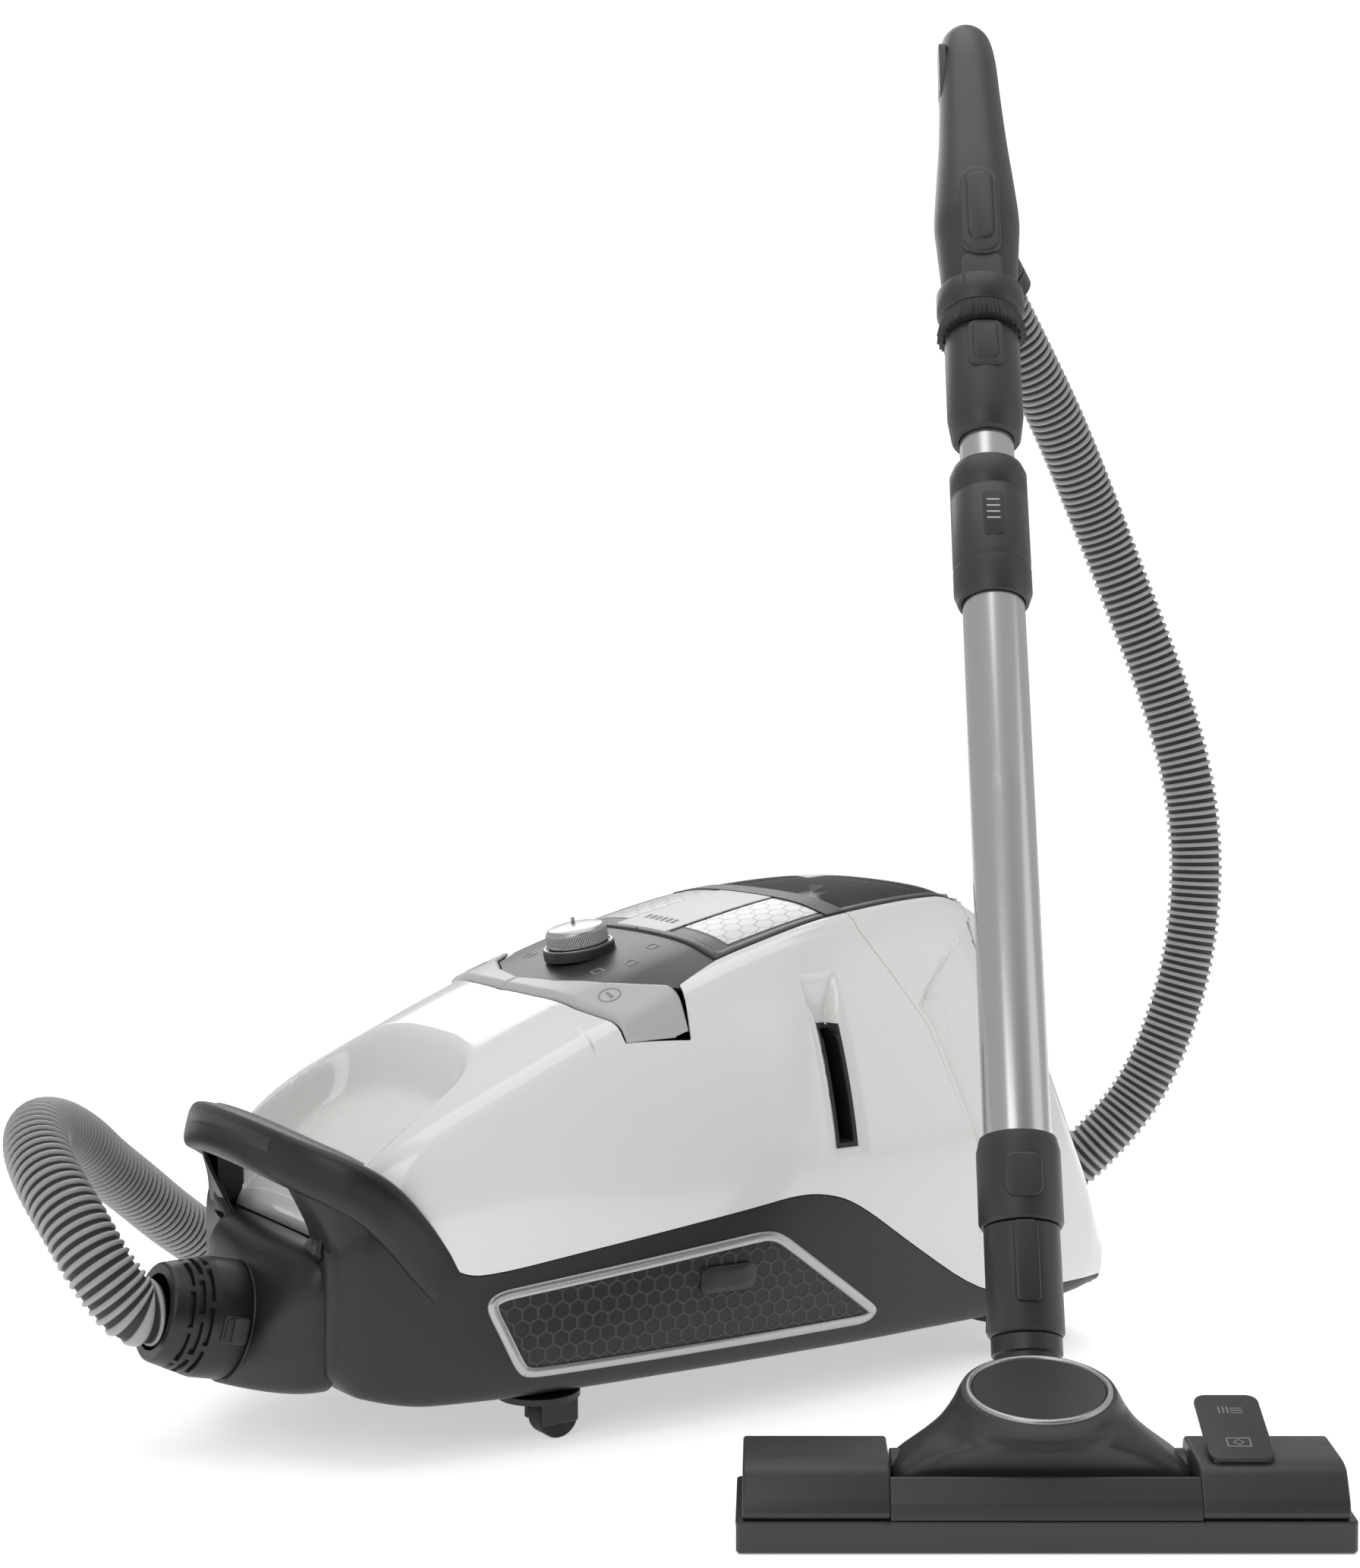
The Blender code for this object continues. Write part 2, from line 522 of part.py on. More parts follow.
# Handle: socket, grip bending back at the top, and the branch where the hose turns.
GRIP = [(0, 710.4, 23.3, 23.3), (0, 743, 23.3, 23.3), (0, 780, 26.5, 26), (0.5, 800, 28, 29), (1, 830, 25, 26),
        (3, 865, 22, 22), (8, 905, 20, 20), (14, 940, 19, 19), (21, 965, 17.5, 17.5), (26, 980, 12, 12)]
rings = []
for back, z, rx, ry in GRIP:
    rings.append([(rx * math.cos(t), back + ry * math.sin(t), z) for t in np.linspace(0, 2 * math.pi, 25)[:-1]])
handle_body = loft_rings(rings)
bpy.context.view_layer.update()
to_wand = wand.matrix_world.inverted()
end_local = to_wand @ (hose_end * MM) / MM
heading_local = (to_wand.to_3x3() @ hose_heading).normalized()
branch_face = end_local + heading_local * 0.3
root_point = Vector((0, 12, 806))
branch = cylinder(branch_face + heading_local * 28, root_point, 22.5, 20, 28)
branch_rim = cylinder(branch_face + heading_local * 11.6, branch_face + heading_local * 32, 24.5, segments=28)
branch = join(branch, branch_rim)
handle_body = join(handle_body, branch)
handle_body = cut(handle_body, cylinder((0, 0, 690), (0, 0, 780), 17.2, segments=32))
handle_body = cut(handle_body, box((-9.4, -34, 764), (9.4, -22.2, 820)))
handle_body = cut(handle_body, box((-30, 3, 906), (-16.2, 17, 952)))
node("handle_body", handle_body, "dark grey ABS", wand)
thumb = box((-9, -28.6, 764.4), (9, -24.6, 819.6), 1.4, 1)
node("handle_release_button", thumb, "dark grey ABS", wand, (0, -24, 800))
valve = box((-21, 3.6, 909), (-16.6, 16.4, 930), 1.2, 1)
node("air_slider", valve, "dark grey ABS", wand, (-18, 10, 920))

swivel = revolved([(20.6, 0.0), (24.5, 0.0), (24.5, 11.0), (20.6, 11.0)], 32)
swivel = moved(swivel, along(branch_face + heading_local * 0.2, heading_local))
node("hose_swivel_ring", swivel, "dark grey ABS", wand, branch_face)

# Neck collar, latch and the elbow with the bell that carries the floorhead.
neck_collar = revolved([(12, 84), (20.2, 84), (20.2, 141.6), (12, 141.6)], 32)
neck_collar = cut(neck_collar, box((-6.9, -26, 98), (6.9, -17.6, 150)))
node("neck_collar", neck_collar, "dark grey ABS", wand)
latch = box((-6.5, -23, 98.4), (6.5, -19.4, 141.2), 1.2, 1)
node("neck_latch", latch, "dark grey ABS", wand, (0, -20, 120))

# ---- floorhead frame: x across, y back from the front edge, z up ----
TILT = Vector((0, 46, 22))
DRUM_R = 14.6
# Half width, front, rear, height and squareness of each ring of the flare.
FLARE = [(73.2, 33, 58, 30, 0.45), (72, 24, 57.5, 36, 0.45), (62, 24, 62, 42, 0.45), (50, 25, 69, 50, 0.7),
         (46, 21, 73, 54, 0.8), (42, 5, 77, 60, 1.0), (38.6, 2, 79, 68, 1.0)]
flare = []
for half, front, rear_y, z, power in FLARE:
    ring = []
    for a in np.linspace(0, 2 * math.pi, 33)[:-1]:
        c, s = math.cos(a), math.sin(a)
        x = half * math.copysign(abs(c) ** power, c)
        y = (front + rear_y) / 2 + (rear_y - front) / 2 * math.copysign(abs(s) ** power, s)
        ring.append((x, y, z + ((y - 40.5) * 0.17 if power == 1.0 else 0)))
    flare.append(ring)
drum = cylinder((-73.2, TILT.y, TILT.z), (73.2, TILT.y, TILT.z), DRUM_R, segments=32)
bell = join(loft_rings(flare), drum)
wand_axis = Vector((0, math.sin(math.radians(LEAN)), math.cos(math.radians(LEAN))))
elbow_low, elbow_top = Vector(PIVOT) + wand_axis * 42, Vector(PIVOT) + wand_axis * 83.6
bell = join(bell, cylinder(elbow_low, elbow_top, 17.5, segments=32))
for sign in (-1, 1):
    bell = join(bell, cylinder((sign * 70, TILT.y, TILT.z), (sign * 76.5, TILT.y, TILT.z), 5, segments=16))
node("bell_housing", bell, "dark grey ABS", head, (0, 60.2, 3.3))
disc_axis = Vector((0, -math.sin(math.atan(0.17)), math.cos(math.atan(0.17))))
disc = revolved([(33, 0.3), (36.4, 0.3), (36.0, 1.5), (33.4, 1.5)], 40)
node("disc_ring", moved(disc, along((0, 40, 68.0), disc_axis)), "silver paint", head)

cover_profile = [(0.6, 16), (3, 24), (13, 38), (20, 40), (58, 40), (62, 37), (66, 16)]
upright = Matrix(((0, 0, 1, 0), (1, 0, 0, 0), (0, 1, 0, 0), (0, 0, 0, 1)))
cover = moved(prism(cover_profile, -146, 146, "xy"), upright)
inner_cover = moved(prism([(4, 10), (6, 24), (15, 35.4), (57, 35.4), (60, 34), (63, 10)], -143, 143, "xy"), upright)
cover = cut(cover, inner_cover)
cover = cut(cover, box((-74.4, 12, 24), (74.4, 80, 60)))
for sign in (-1, 1):
    lug = box((sign * 79 - 4, TILT.y - 9, 15.9), (sign * 79 + 4, TILT.y + 9, 36))
    cover = join(cover, lug)
    cover = cut(cover, cylinder((sign * 70, TILT.y, TILT.z), (sign * 77, TILT.y, TILT.z), 5.4, segments=16))
cover = cut(cover, box((79.6, 14, 36), (113.4, 70, 60)), box((79.6, 20, 33), (113.4, 62, 60)))
node("head_cover", cover, "dark grey ABS", head, TILT)
sole = box((-149, 0, 0), (149, 68, 15.6), 1.5, 1)
sole = cut(sole, box((-77.5, 12, -5), (77.5, 61, 30)))
for y in (5, 64):
    sole = cut(sole, box((-122, y - 2.4, -5), (122, y + 2.4, 9)))
node("sole_frame", sole, "dark grey ABS", head)
for name, y in (("front", 5), ("rear", 64)):
    strip = box((-121.6, y - 2, 2.8), (121.6, y + 2, 6.4))
    node(f"brush_strip_{name}", strip, "black bristle", head, (0, y, 4))
rocker_profile = [(15, 38.6), (15, 42), (40, 49), (68, 58), (69, 54.5), (41, 40), (38, 34.6), (33, 34.6), (30, 38.6)]
rocker = moved(prism(rocker_profile, 80, 113, "xy"), upright)
node("rocker_pedal", rocker, "dark grey ABS", head, (96.5, 36, 38))

for obj in [o for o in bpy.data.objects if o.type == "MESH" and o.name not in parts.objects]:
    bpy.data.objects.remove(obj, do_unlink=True)

# Centre everything but the hose over the origin.
bpy.context.view_layer.update()
corners = [o.matrix_world @ v.co for o in parts.objects if o.type == "MESH" and o.name != "hose"
           for v in o.data.vertices]
for axis in (0, 1):
    canister.location[axis] -= (min(c[axis] for c in corners) + max(c[axis] for c in corners)) / 2
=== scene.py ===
import bpy
import bmesh
import json
import math
import numpy as np
from mathutils import Matrix

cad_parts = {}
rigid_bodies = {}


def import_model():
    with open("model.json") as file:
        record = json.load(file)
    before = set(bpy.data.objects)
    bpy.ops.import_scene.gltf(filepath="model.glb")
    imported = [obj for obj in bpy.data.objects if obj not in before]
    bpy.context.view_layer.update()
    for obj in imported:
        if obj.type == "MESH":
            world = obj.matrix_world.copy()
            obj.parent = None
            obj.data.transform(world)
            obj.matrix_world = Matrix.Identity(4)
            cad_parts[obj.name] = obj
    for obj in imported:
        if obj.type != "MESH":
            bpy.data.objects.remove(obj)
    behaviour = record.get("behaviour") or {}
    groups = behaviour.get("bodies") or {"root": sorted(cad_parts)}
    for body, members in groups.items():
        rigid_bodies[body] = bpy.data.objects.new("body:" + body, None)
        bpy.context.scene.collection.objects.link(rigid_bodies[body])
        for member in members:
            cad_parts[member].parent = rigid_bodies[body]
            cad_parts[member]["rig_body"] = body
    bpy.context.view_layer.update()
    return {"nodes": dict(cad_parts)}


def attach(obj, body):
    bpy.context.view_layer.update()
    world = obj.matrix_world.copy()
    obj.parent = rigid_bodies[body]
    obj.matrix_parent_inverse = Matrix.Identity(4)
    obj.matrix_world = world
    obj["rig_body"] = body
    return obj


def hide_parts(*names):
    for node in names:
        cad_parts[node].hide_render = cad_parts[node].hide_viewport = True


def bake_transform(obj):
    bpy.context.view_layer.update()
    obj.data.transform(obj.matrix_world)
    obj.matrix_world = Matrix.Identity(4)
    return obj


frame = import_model()
print("frame loaded")


# frames: canister, floorhead and wand; lengths in mm inside a frame, metres outside it
def rotation(axis, degrees):
    return np.array(Matrix.Rotation(math.radians(degrees), 3, axis))


places = {"canisterAt": (-241.6318, 163.9013, 0), "headAt": (227.7, -388.2, 0), "headTurn": -35.0,
          "wandAt": (0, 60.2, 3.3), "lean": 28.55}
canisterFrame = (np.eye(3), np.array(places["canisterAt"]))
headFrame = (rotation("Z", places["headTurn"]), canisterFrame[1] + np.array(places["headAt"]))
wandFrame = (headFrame[0] @ rotation("X", -places["lean"]),
             headFrame[1] + headFrame[0] @ np.array(places["wandAt"]))


def placed(frameOf, points):
    # turns and shifts points of one frame into the row frame, in metres
    turn, shift = frameOf
    return (np.asarray(points, float) @ turn.T + shift) * 0.001


def aimed(frameOf, start, direction, side=(1, 0, 0)):
    # a frame whose z runs along direction, with x as near side as it can be
    turn, shift = frameOf
    z = np.array(direction, float) / np.linalg.norm(direction)
    x = np.array(side, float) - z * np.dot(side, z)
    x /= np.linalg.norm(x)
    return (turn @ np.stack([x, np.cross(z, x), z], 1), shift + turn @ np.array(start, float))


# materials
def linear(hexColour):
    srgb = np.array([int(hexColour[i:i + 2], 16) for i in (1, 3, 5)]) / 255
    return (*np.where(srgb <= 0.04045, srgb / 12.92, ((srgb + 0.055) / 1.055) ** 2.4), 1.0)


def addNode(tree, kind, settings=None, links=None):
    # adds one node, sets its fields, then its sockets by value or by link
    made = tree.nodes.new(kind)
    for key, value in (settings or {}).items():
        setattr(made, key, value)
    for key, value in (links or {}).items():
        if isinstance(value, bpy.types.NodeSocket):
            tree.links.new(value, made.inputs[key])
        else:
            made.inputs[key].default_value = value
    return made


def newMaterial(name, colour, roughness, metallic=0.0, ior=1.5, coat=0.0):
    mat = bpy.data.materials.new(name)
    mat.use_nodes = True
    tree = mat.node_tree
    shader = tree.nodes["Principled BSDF"]
    shader.inputs["Base Color"].default_value = linear(colour)
    shader.inputs["Roughness"].default_value = roughness
    shader.inputs["Metallic"].default_value = metallic
    shader.inputs["IOR"].default_value = ior
    shader.inputs["Coat Weight"].default_value = coat
    shader.inputs["Coat Roughness"].default_value = 0.06
    return mat, tree, shader


def twoTones(tree, shader, factor, colour, other):
    # base colour runs from one hex colour to another
    tone = addNode(tree, "ShaderNodeMix", {"data_type": "RGBA"},
                   {"Factor": factor, 6: linear(colour), 7: linear(other)})
    tree.links.new(tone.outputs[2], shader.inputs["Base Color"])


def relief(tree, shader, height, strength, depthMm):
    # fine surface height, in mm, as a bump
    bump = addNode(tree, "ShaderNodeBump", links={"Height": height, "Strength": strength, "Distance": depthMm
                                                  * 0.001})
    tree.links.new(bump.outputs["Normal"], shader.inputs["Normal"])


def mouldedPlastic(name, colour, shade, roughness, spread, grainMm, grainDepth, coat=0.0):
    # injection moulded ABS: tone drifts slowly over the part and the tool's grain breaks up the gloss
    mat, tree, shader = newMaterial(name, colour, roughness, coat=coat)
    place = addNode(tree, "ShaderNodeTexCoord").outputs["Object"]
    drift = addNode(tree, "ShaderNodeTexNoise", links={"Vector": place, "Scale": 9.0, "Detail": 2.0})
    twoTones(tree, shader, drift.outputs["Fac"], colour, shade)
    grain = addNode(tree, "ShaderNodeTexNoise", links={"Vector": place, "Scale": 500.0 / grainMm, "Detail": 3.0})
    gloss = addNode(tree, "ShaderNodeMapRange",
                    links={"Value": grain.outputs["Fac"], "From Min": 0.3, "From Max": 0.7,
                           "To Min": roughness - spread, "To Max": roughness + spread})
    tree.links.new(gloss.outputs["Result"], shader.inputs["Roughness"])
    relief(tree, shader, grain.outputs["Fac"], 0.35, grainDepth)
    return mat


def hexEdge(tree, vector, cellMm):
    # distance to the nearest wall of a honeycomb: two shifted grids, the nearer centre wins; 0 wall, 0.5 centre
    def vec(operation, a, b=None):
        links = {0: a} if b is None else {0: a, 1: b}
        return addNode(tree, "ShaderNodeVectorMath", {"operation": operation}, links)
    size = (1.0, 1.7320508, 1.0)
    scaled = vec("ADD", vec("MULTIPLY", vector, (1000 / cellMm, 1000 / cellMm, 0)).outputs[0],
                 (400, 692.82032, 0))
    halves = []
    for shift in ((0, 0, 0), (0.5, 0.8660254, 0)):
        wrapped = vec("MODULO", vec("ADD", scaled.outputs[0], shift).outputs[0], size)
        halves.append(vec("SUBTRACT", wrapped.outputs[0], (0.5, 0.8660254, 0)))
    near = [vec("LENGTH", h.outputs[0]).outputs["Value"] for h in halves]
    pick = addNode(tree, "ShaderNodeMath", {"operation": "LESS_THAN"}, {0: near[0], 1: near[1]})
    chosen = addNode(tree, "ShaderNodeMix", {"data_type": "VECTOR"},
                     {"Factor": pick.outputs[0], 4: halves[1].outputs[0], 5: halves[0].outputs[0]})
    folded = vec("ABSOLUTE", chosen.outputs[1])
    slope = vec("DOT_PRODUCT", folded.outputs[0], (0.5, 0.8660254, 0)).outputs["Value"]
    across = addNode(tree, "ShaderNodeSeparateXYZ", links={0: folded.outputs[0]}).outputs["X"]
    far = addNode(tree, "ShaderNodeMath", {"operation": "MAXIMUM"}, {0: slope, 1: across})
    return addNode(tree, "ShaderNodeMath", {"operation": "SUBTRACT"}, {0: 0.5, 1: far.outputs[0]}).outputs[0]


def hexRelief(across, along, cellMm, wallWidth):
    # the same honeycomb worked out for mesh points: 0 on the walls, 1 in the cells
    place = np.stack([across / cellMm + 400, along / cellMm + 692.82032], -1)
    size = np.array([1.0, 1.7320508])
    halves = [np.mod(place + shift, size) - size / 2 for shift in ((0, 0), (0.5, 0.8660254))]
    nearest = (halves[0] ** 2).sum(-1) < (halves[1] ** 2).sum(-1)
    folded = np.abs(np.where(nearest[..., None], halves[0], halves[1]))
    edge = 0.5 - np.maximum(folded[..., 0] * 0.5 + folded[..., 1] * 0.8660254, folded[..., 0])
    rise = np.clip((edge - wallWidth) / 0.08, 0, 1)
    return rise * rise * (3 - 2 * rise)


def honeycombPlastic(name, colour, wall, roughness, cellMm, wallWidth, depthMm, order):
    # moulded honeycomb: wall lines stand over the cells; order picks the two axes that the cells lie in
    mat, tree, shader = newMaterial(name, colour, roughness)
    place = addNode(tree, "ShaderNodeTexCoord").outputs["Object"]
    split = addNode(tree, "ShaderNodeSeparateXYZ", links={0: place})
    flat = addNode(tree, "ShaderNodeCombineXYZ", links={0: split.outputs[order[0]], 1: split.outputs[order[1]]})
    edge = hexEdge(tree, flat.outputs[0], cellMm)
    ridge = addNode(tree, "ShaderNodeMapRange", {"interpolation_type": "SMOOTHSTEP"},
                    {"Value": edge, "From Min": wallWidth, "From Max": wallWidth * 2,
                     "To Min": 1.0, "To Max": 0.0})
    twoTones(tree, shader, ridge.outputs["Result"], colour, wall)
    relief(tree, shader, ridge.outputs["Result"], 0.9, depthMm)
    return mat


def brushedSteel(name, colour, lineMm):
    # stainless tube ground on a belt while it turns: fine scratches run round it
    mat, tree, shader = newMaterial(name, colour, 0.24, metallic=1.0)
    shader.inputs["Anisotropic"].default_value = 0.3
    place = addNode(tree, "ShaderNodeUVMap").outputs["UV"]
    stretched = addNode(tree, "ShaderNodeVectorMath", {"operation": "MULTIPLY"},
                        {0: place, 1: (1000 / lineMm, 14.0, 1.0)})
    lines = addNode(tree, "ShaderNodeTexNoise", links={"Vector": stretched.outputs[0], "Scale": 1.0,
                                                       "Detail": 4.0})
    gloss = addNode(tree, "ShaderNodeMapRange", links={"Value": lines.outputs["Fac"], "To Min": 0.16,
                                                       "To Max": 0.28})
    tree.links.new(gloss.outputs["Result"], shader.inputs["Roughness"])
    relief(tree, shader, lines.outputs["Fac"], 0.06, 0.2)
    return mat


def ribbedHosePlastic(name, wire, valley):
    # extruded PVC hose with a wire under the skin: the valleys are painted near black as shade between the ribs,
    # and the ribs are a light grey that is the hose's grey with painted highlight; the ribs are polished by use
    # and glossier than the dull valleys
    mat, tree, shader = newMaterial(name, wire, 0.35)
    height = addNode(tree, "ShaderNodeAttribute", {"attribute_name": "ribHeight"}).outputs["Fac"]
    ramp = addNode(tree, "ShaderNodeMapRange", {"interpolation_type": "SMOOTHSTEP"},
                   {"Value": height, "From Min": 0.05, "From Max": 0.6})
    twoTones(tree, shader, ramp.outputs["Result"], valley, wire)
    gloss = addNode(tree, "ShaderNodeMapRange", links={"Value": height, "To Min": 0.6, "To Max": 0.32})
    tree.links.new(gloss.outputs["Result"], shader.inputs["Roughness"])
    return mat


def clearPlastic(name, colour, roughness, alpha):
    # injection moulded polycarbonate: see-through with a hard gloss, a faint ripple from the melt as a bump
    mat, tree, shader = newMaterial(name, colour, roughness, ior=1.58)
    shader.inputs["Alpha"].default_value = alpha
    place = addNode(tree, "ShaderNodeTexCoord").outputs["Object"]
    flow = addNode(tree, "ShaderNodeTexNoise", links={"Vector": place, "Scale": 22.0, "Detail": 1.0})
    relief(tree, shader, flow.outputs["Fac"], 0.05, 0.3)
    return mat


whiteAbs = mouldedPlastic("glossyWhiteAbs", "#e9e7e5", "#e5e3e1", 0.16, 0.03, 3.0, 0.004, coat=0.6)
blackAbs = mouldedPlastic("satinBlackAbs", "#171718", "#1b1b1c", 0.4, 0.06, 0.7, 0.02)
greyAbs = mouldedPlastic("sparkErodedDarkGreyAbs", "#2d2e30", "#323335", 0.42, 0.06, 0.6, 0.025)
panelAbs = mouldedPlastic("satinCharcoalAbs", "#29292b", "#2d2d2f", 0.36, 0.05, 0.6, 0.02)
lightAbs = mouldedPlastic("satinLightGreyAbs", "#b9babc", "#b3b4b6", 0.33, 0.05, 0.7, 0.012)
silverPaint = mouldedPlastic("satinSilverPaint", "#b4b5b7", "#aeafb1", 0.3, 0.04, 0.5, 0.008)
silverPaint.node_tree.nodes["Principled BSDF"].inputs["Metallic"].default_value = 0.75
markPaint = mouldedPlastic("printedGreyMark", "#8d8e90", "#88898b", 0.5, 0.05, 0.4, 0.004)
rubber = mouldedPlastic("mouldedBlackRubber", "#19191a", "#222223", 0.7, 0.08, 0.9, 0.03)
bristleNylon = mouldedPlastic("darkNylonBristle", "#1d1b1a", "#3a3735", 0.6, 0.1, 0.4, 0.6)
fleece = mouldedPlastic("filterFleece", "#dedcd4", "#cfccc2", 0.9, 0.05, 0.8, 0.3)
motorMetal = mouldedPlastic("castMotorHousing", "#6f6a62", "#7d776d", 0.5, 0.1, 1.2, 0.05)
motorMetal.node_tree.nodes["Principled BSDF"].inputs["Metallic"].default_value = 0.9
chrome = mouldedPlastic("polishedSteelRod", "#c9cacc", "#c2c3c5", 0.1, 0.03, 2.0, 0.002)
chrome.node_tree.nodes["Principled BSDF"].inputs["Metallic"].default_value = 1.0
steel = brushedSteel("brushedStainlessTube", "#c4c5c6", 0.3)
# hose colours: light rib grey with painted highlight, near-black valleys as painted shade
hosePlastic = ribbedHosePlastic("ribbedHosePvc", "#9c9d9f", "#29292a")
smoked = clearPlastic("smokedPolycarbonate", "#141516", 0.08, 0.8)
clearLid = clearPlastic("clearPolycarbonate", "#2e3032", 0.04, 0.2)
# side grille: the cells are painted near black as shade in their recesses, against walls in a lighter dark grey
sideHoneycomb = honeycombPlastic("blackHoneycombGrille", "#070707", "#37373a", 0.4, 9.0, 0.085, 2.0, ("X", "Z"))
topHoneycomb = honeycombPlastic("lightHoneycombPanel", "#c9cacc", "#a4a5a7", 0.22, 11.0, 0.02, 0.3, ("X", "Y"))
print("materials made")


# surfaces
def finishMesh(name, body, material, mesh, nodes, smooth, wall, edge):
    mesh.validate()
    mesh.update()
    mesh.materials.append(material)
    mesh.shade_smooth()
    mesh.set_sharp_from_angle(angle=math.radians(smooth))
    piece = bpy.data.objects.new(name, mesh)
    bpy.context.scene.collection.objects.link(piece)
    if wall:
        solid = piece.modifiers.new("Wall", "SOLIDIFY")
        solid.thickness, solid.offset = wall * 0.001, -1
    if edge:
        bevel = piece.modifiers.new("Edge", "BEVEL")
        bevel.width, bevel.segments = edge * 0.001, 2
        bevel.limit_method, bevel.angle_limit = "ANGLE", math.radians(smooth)
        bevel.harden_normals = True
    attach(piece, body)
    if nodes:
        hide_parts(*nodes)
    return piece


def surface(name, body, material, grid, loop=False, ring=False, caps=False, nodes=(), wall=0.0, edge=0.0,
            smooth=35, inside=None, mirror=False, keep=None, values=None):
    # one quad between neighbours of a grid of points; loop closes the rows' ends, ring closes each row
    n, m = grid.shape[:2]
    index = np.arange(n * m).reshape(n, m)
    if loop:
        index = np.vstack([index, index[:1]])
    if ring:
        index = np.hstack([index, index[:, :1]])
    quads = np.stack([index[:-1, :-1], index[:-1, 1:], index[1:, 1:], index[1:, :-1]], -1)
    if keep is not None:
        quads = quads[keep]
    quads = quads.reshape(-1, 4)
    points = grid.reshape(-1, 3)
    rise = runLength(grid.mean(1))
    around = runLength(grid.mean(0))
    if ring:
        radius = np.linalg.norm(grid[n // 2] - grid[n // 2].mean(0), axis=1).mean()
        around = np.linspace(0, 2 * math.pi * radius, m)
    coords = np.stack(np.meshgrid(rise, around, indexing="ij"), -1).reshape(-1, 2)
    mesh = bpy.data.meshes.new(name)
    faces = quads.tolist()
    if caps:
        faces += [list(range(m))[::-1], list(range((n - 1) * m, n * m))]
    mesh.from_pydata(points.tolist(), [], faces)
    layer = mesh.uv_layers.new(name="UVMap")
    corners = np.empty(len(mesh.loops), np.int32)
    mesh.loops.foreach_get("vertex_index", corners)
    layer.data.foreach_set("uv", coords[corners].ravel().astype(np.float32))
    if values is not None:
        mesh.attributes.new("ribHeight", "FLOAT", "POINT").data.foreach_set("value", values.ravel())
    bm = bmesh.new()
    bm.from_mesh(mesh)
    if mirror:
        twin = bmesh.ops.duplicate(bm, geom=bm.verts[:] + bm.edges[:] + bm.faces[:])["geom"]
        middle = places["canisterAt"][1] * 0.001
        twinVerts = [g for g in twin if isinstance(g, bmesh.types.BMVert)]
        bmesh.ops.scale(bm, vec=(1, -1, 1), space=Matrix.Translation((0, -middle, 0)), verts=twinVerts)
        bmesh.ops.reverse_faces(bm, faces=[g for g in twin if isinstance(g, bmesh.types.BMFace)])
    bmesh.ops.remove_doubles(bm, verts=bm.verts, dist=0.000004)
    if inside is None:
        bmesh.ops.recalc_face_normals(bm, faces=bm.faces)
        if caps or loop:
            if bm.calc_volume(signed=True) < 0:
                bmesh.ops.reverse_faces(bm, faces=bm.faces)
    else:
        core = np.array(inside)
        votes = sum(np.dot(np.array(f.normal), np.array(f.calc_center_median()) - core) * f.calc_area()
                    for f in bm.faces)
        if votes < 0:
            bmesh.ops.reverse_faces(bm, faces=bm.faces)
    bm.to_mesh(mesh)
    bm.free()
    return finishMesh(name, body, material, mesh, nodes, smooth, wall, edge)


def turned(name, body, material, frameOf, profile, segments=96, closed=False, shaping=None, **options):
    # radius and height along a profile, carried round the frame's z; shaping(angle, height) adds to the radius
    profile = np.array(profile, float)
    angle = np.linspace(0, 2 * math.pi, segments, endpoint=False)
    radius = np.repeat(profile[:, :1], segments, 1)
    height = np.repeat(profile[:, 1:], segments, 1)
    if shaping:
        radius = radius + shaping(angle[None, :], height)
    grid = np.stack([radius * np.cos(angle), radius * np.sin(angle), height], -1)
    return surface(name, body, material, placed(frameOf, grid), loop=closed, ring=True, caps=not closed,
                   **options)


def roundedRect(width, height, radius, count=8):
    # outline of a rectangle with quarter-circle corners, about the origin
    corners = [(1, 1, 0), (-1, 1, 90), (-1, -1, 180), (1, -1, 270)]
    points = []
    for sx, sy, start in corners:
        a = np.radians(np.linspace(start, start + 90, count))
        points.append(np.stack([sx * (width / 2 - radius) + radius * np.cos(a),
                                sy * (height / 2 - radius) + radius * np.sin(a)], 1))
    return np.vstack(points)


def rounded(outline, radius, count=6):
    # a corner polygon whose corners become parabolic arcs that start radius away from them
    pts = np.array(outline, float)
    result = []
    for i in range(len(pts)):
        a, b, c = pts[i - 1], pts[i], pts[(i + 1) % len(pts)]
        before, after = np.linalg.norm(a - b), np.linalg.norm(c - b)
        p = b + (a - b) / before * min(radius, before * 0.48)
        q = b + (c - b) / after * min(radius, after * 0.48)
        t = np.linspace(0, 1, count)[:, None]
        result.append((1 - t) ** 2 * p + 2 * t * (1 - t) * b + t ** 2 * q)
    return np.vstack(result)


def inset(outline, amount):
    # each outline point moved inwards along the mean of its two edge normals
    ahead = np.roll(outline, -1, 0) - np.roll(outline, 1, 0)
    ahead /= np.linalg.norm(ahead, axis=1)[:, None]
    area = np.sum(outline[:, 0] * np.roll(outline[:, 1], -1) - np.roll(outline[:, 0], -1) * outline[:, 1])
    normal = np.stack([-ahead[:, 1], ahead[:, 0]], 1) * (1 if area > 0 else -1)
    return outline + normal * amount


def slab(name, body, material, frameOf, outline, low, high, soften, shift=(0, 0), **options):
    # an outline raised from low to high, both rims rolled over by a quarter circle of soften
    outline = np.array(outline, float) + np.array(shift)
    roll = np.radians(np.linspace(0, 90, 5))
    steps = [(soften * (1 - math.sin(a)), low + soften * (1 - math.cos(a))) for a in roll]
    steps += [(soften * (1 - math.cos(a)), high - soften * (1 - math.sin(a))) for a in roll]
    rows = []
    for amount, height in steps:
        flat = inset(outline, amount) if amount > 1e-6 else outline
        rows.append(np.column_stack([flat, np.full(len(flat), height)]))
    return surface(name, body, material, placed(frameOf, np.array(rows)), ring=True, caps=True, **options)


def runLength(points):
    # distance along a row of points, from its first
    return np.r_[0, np.cumsum(np.linalg.norm(np.diff(points, axis=0), axis=1))]


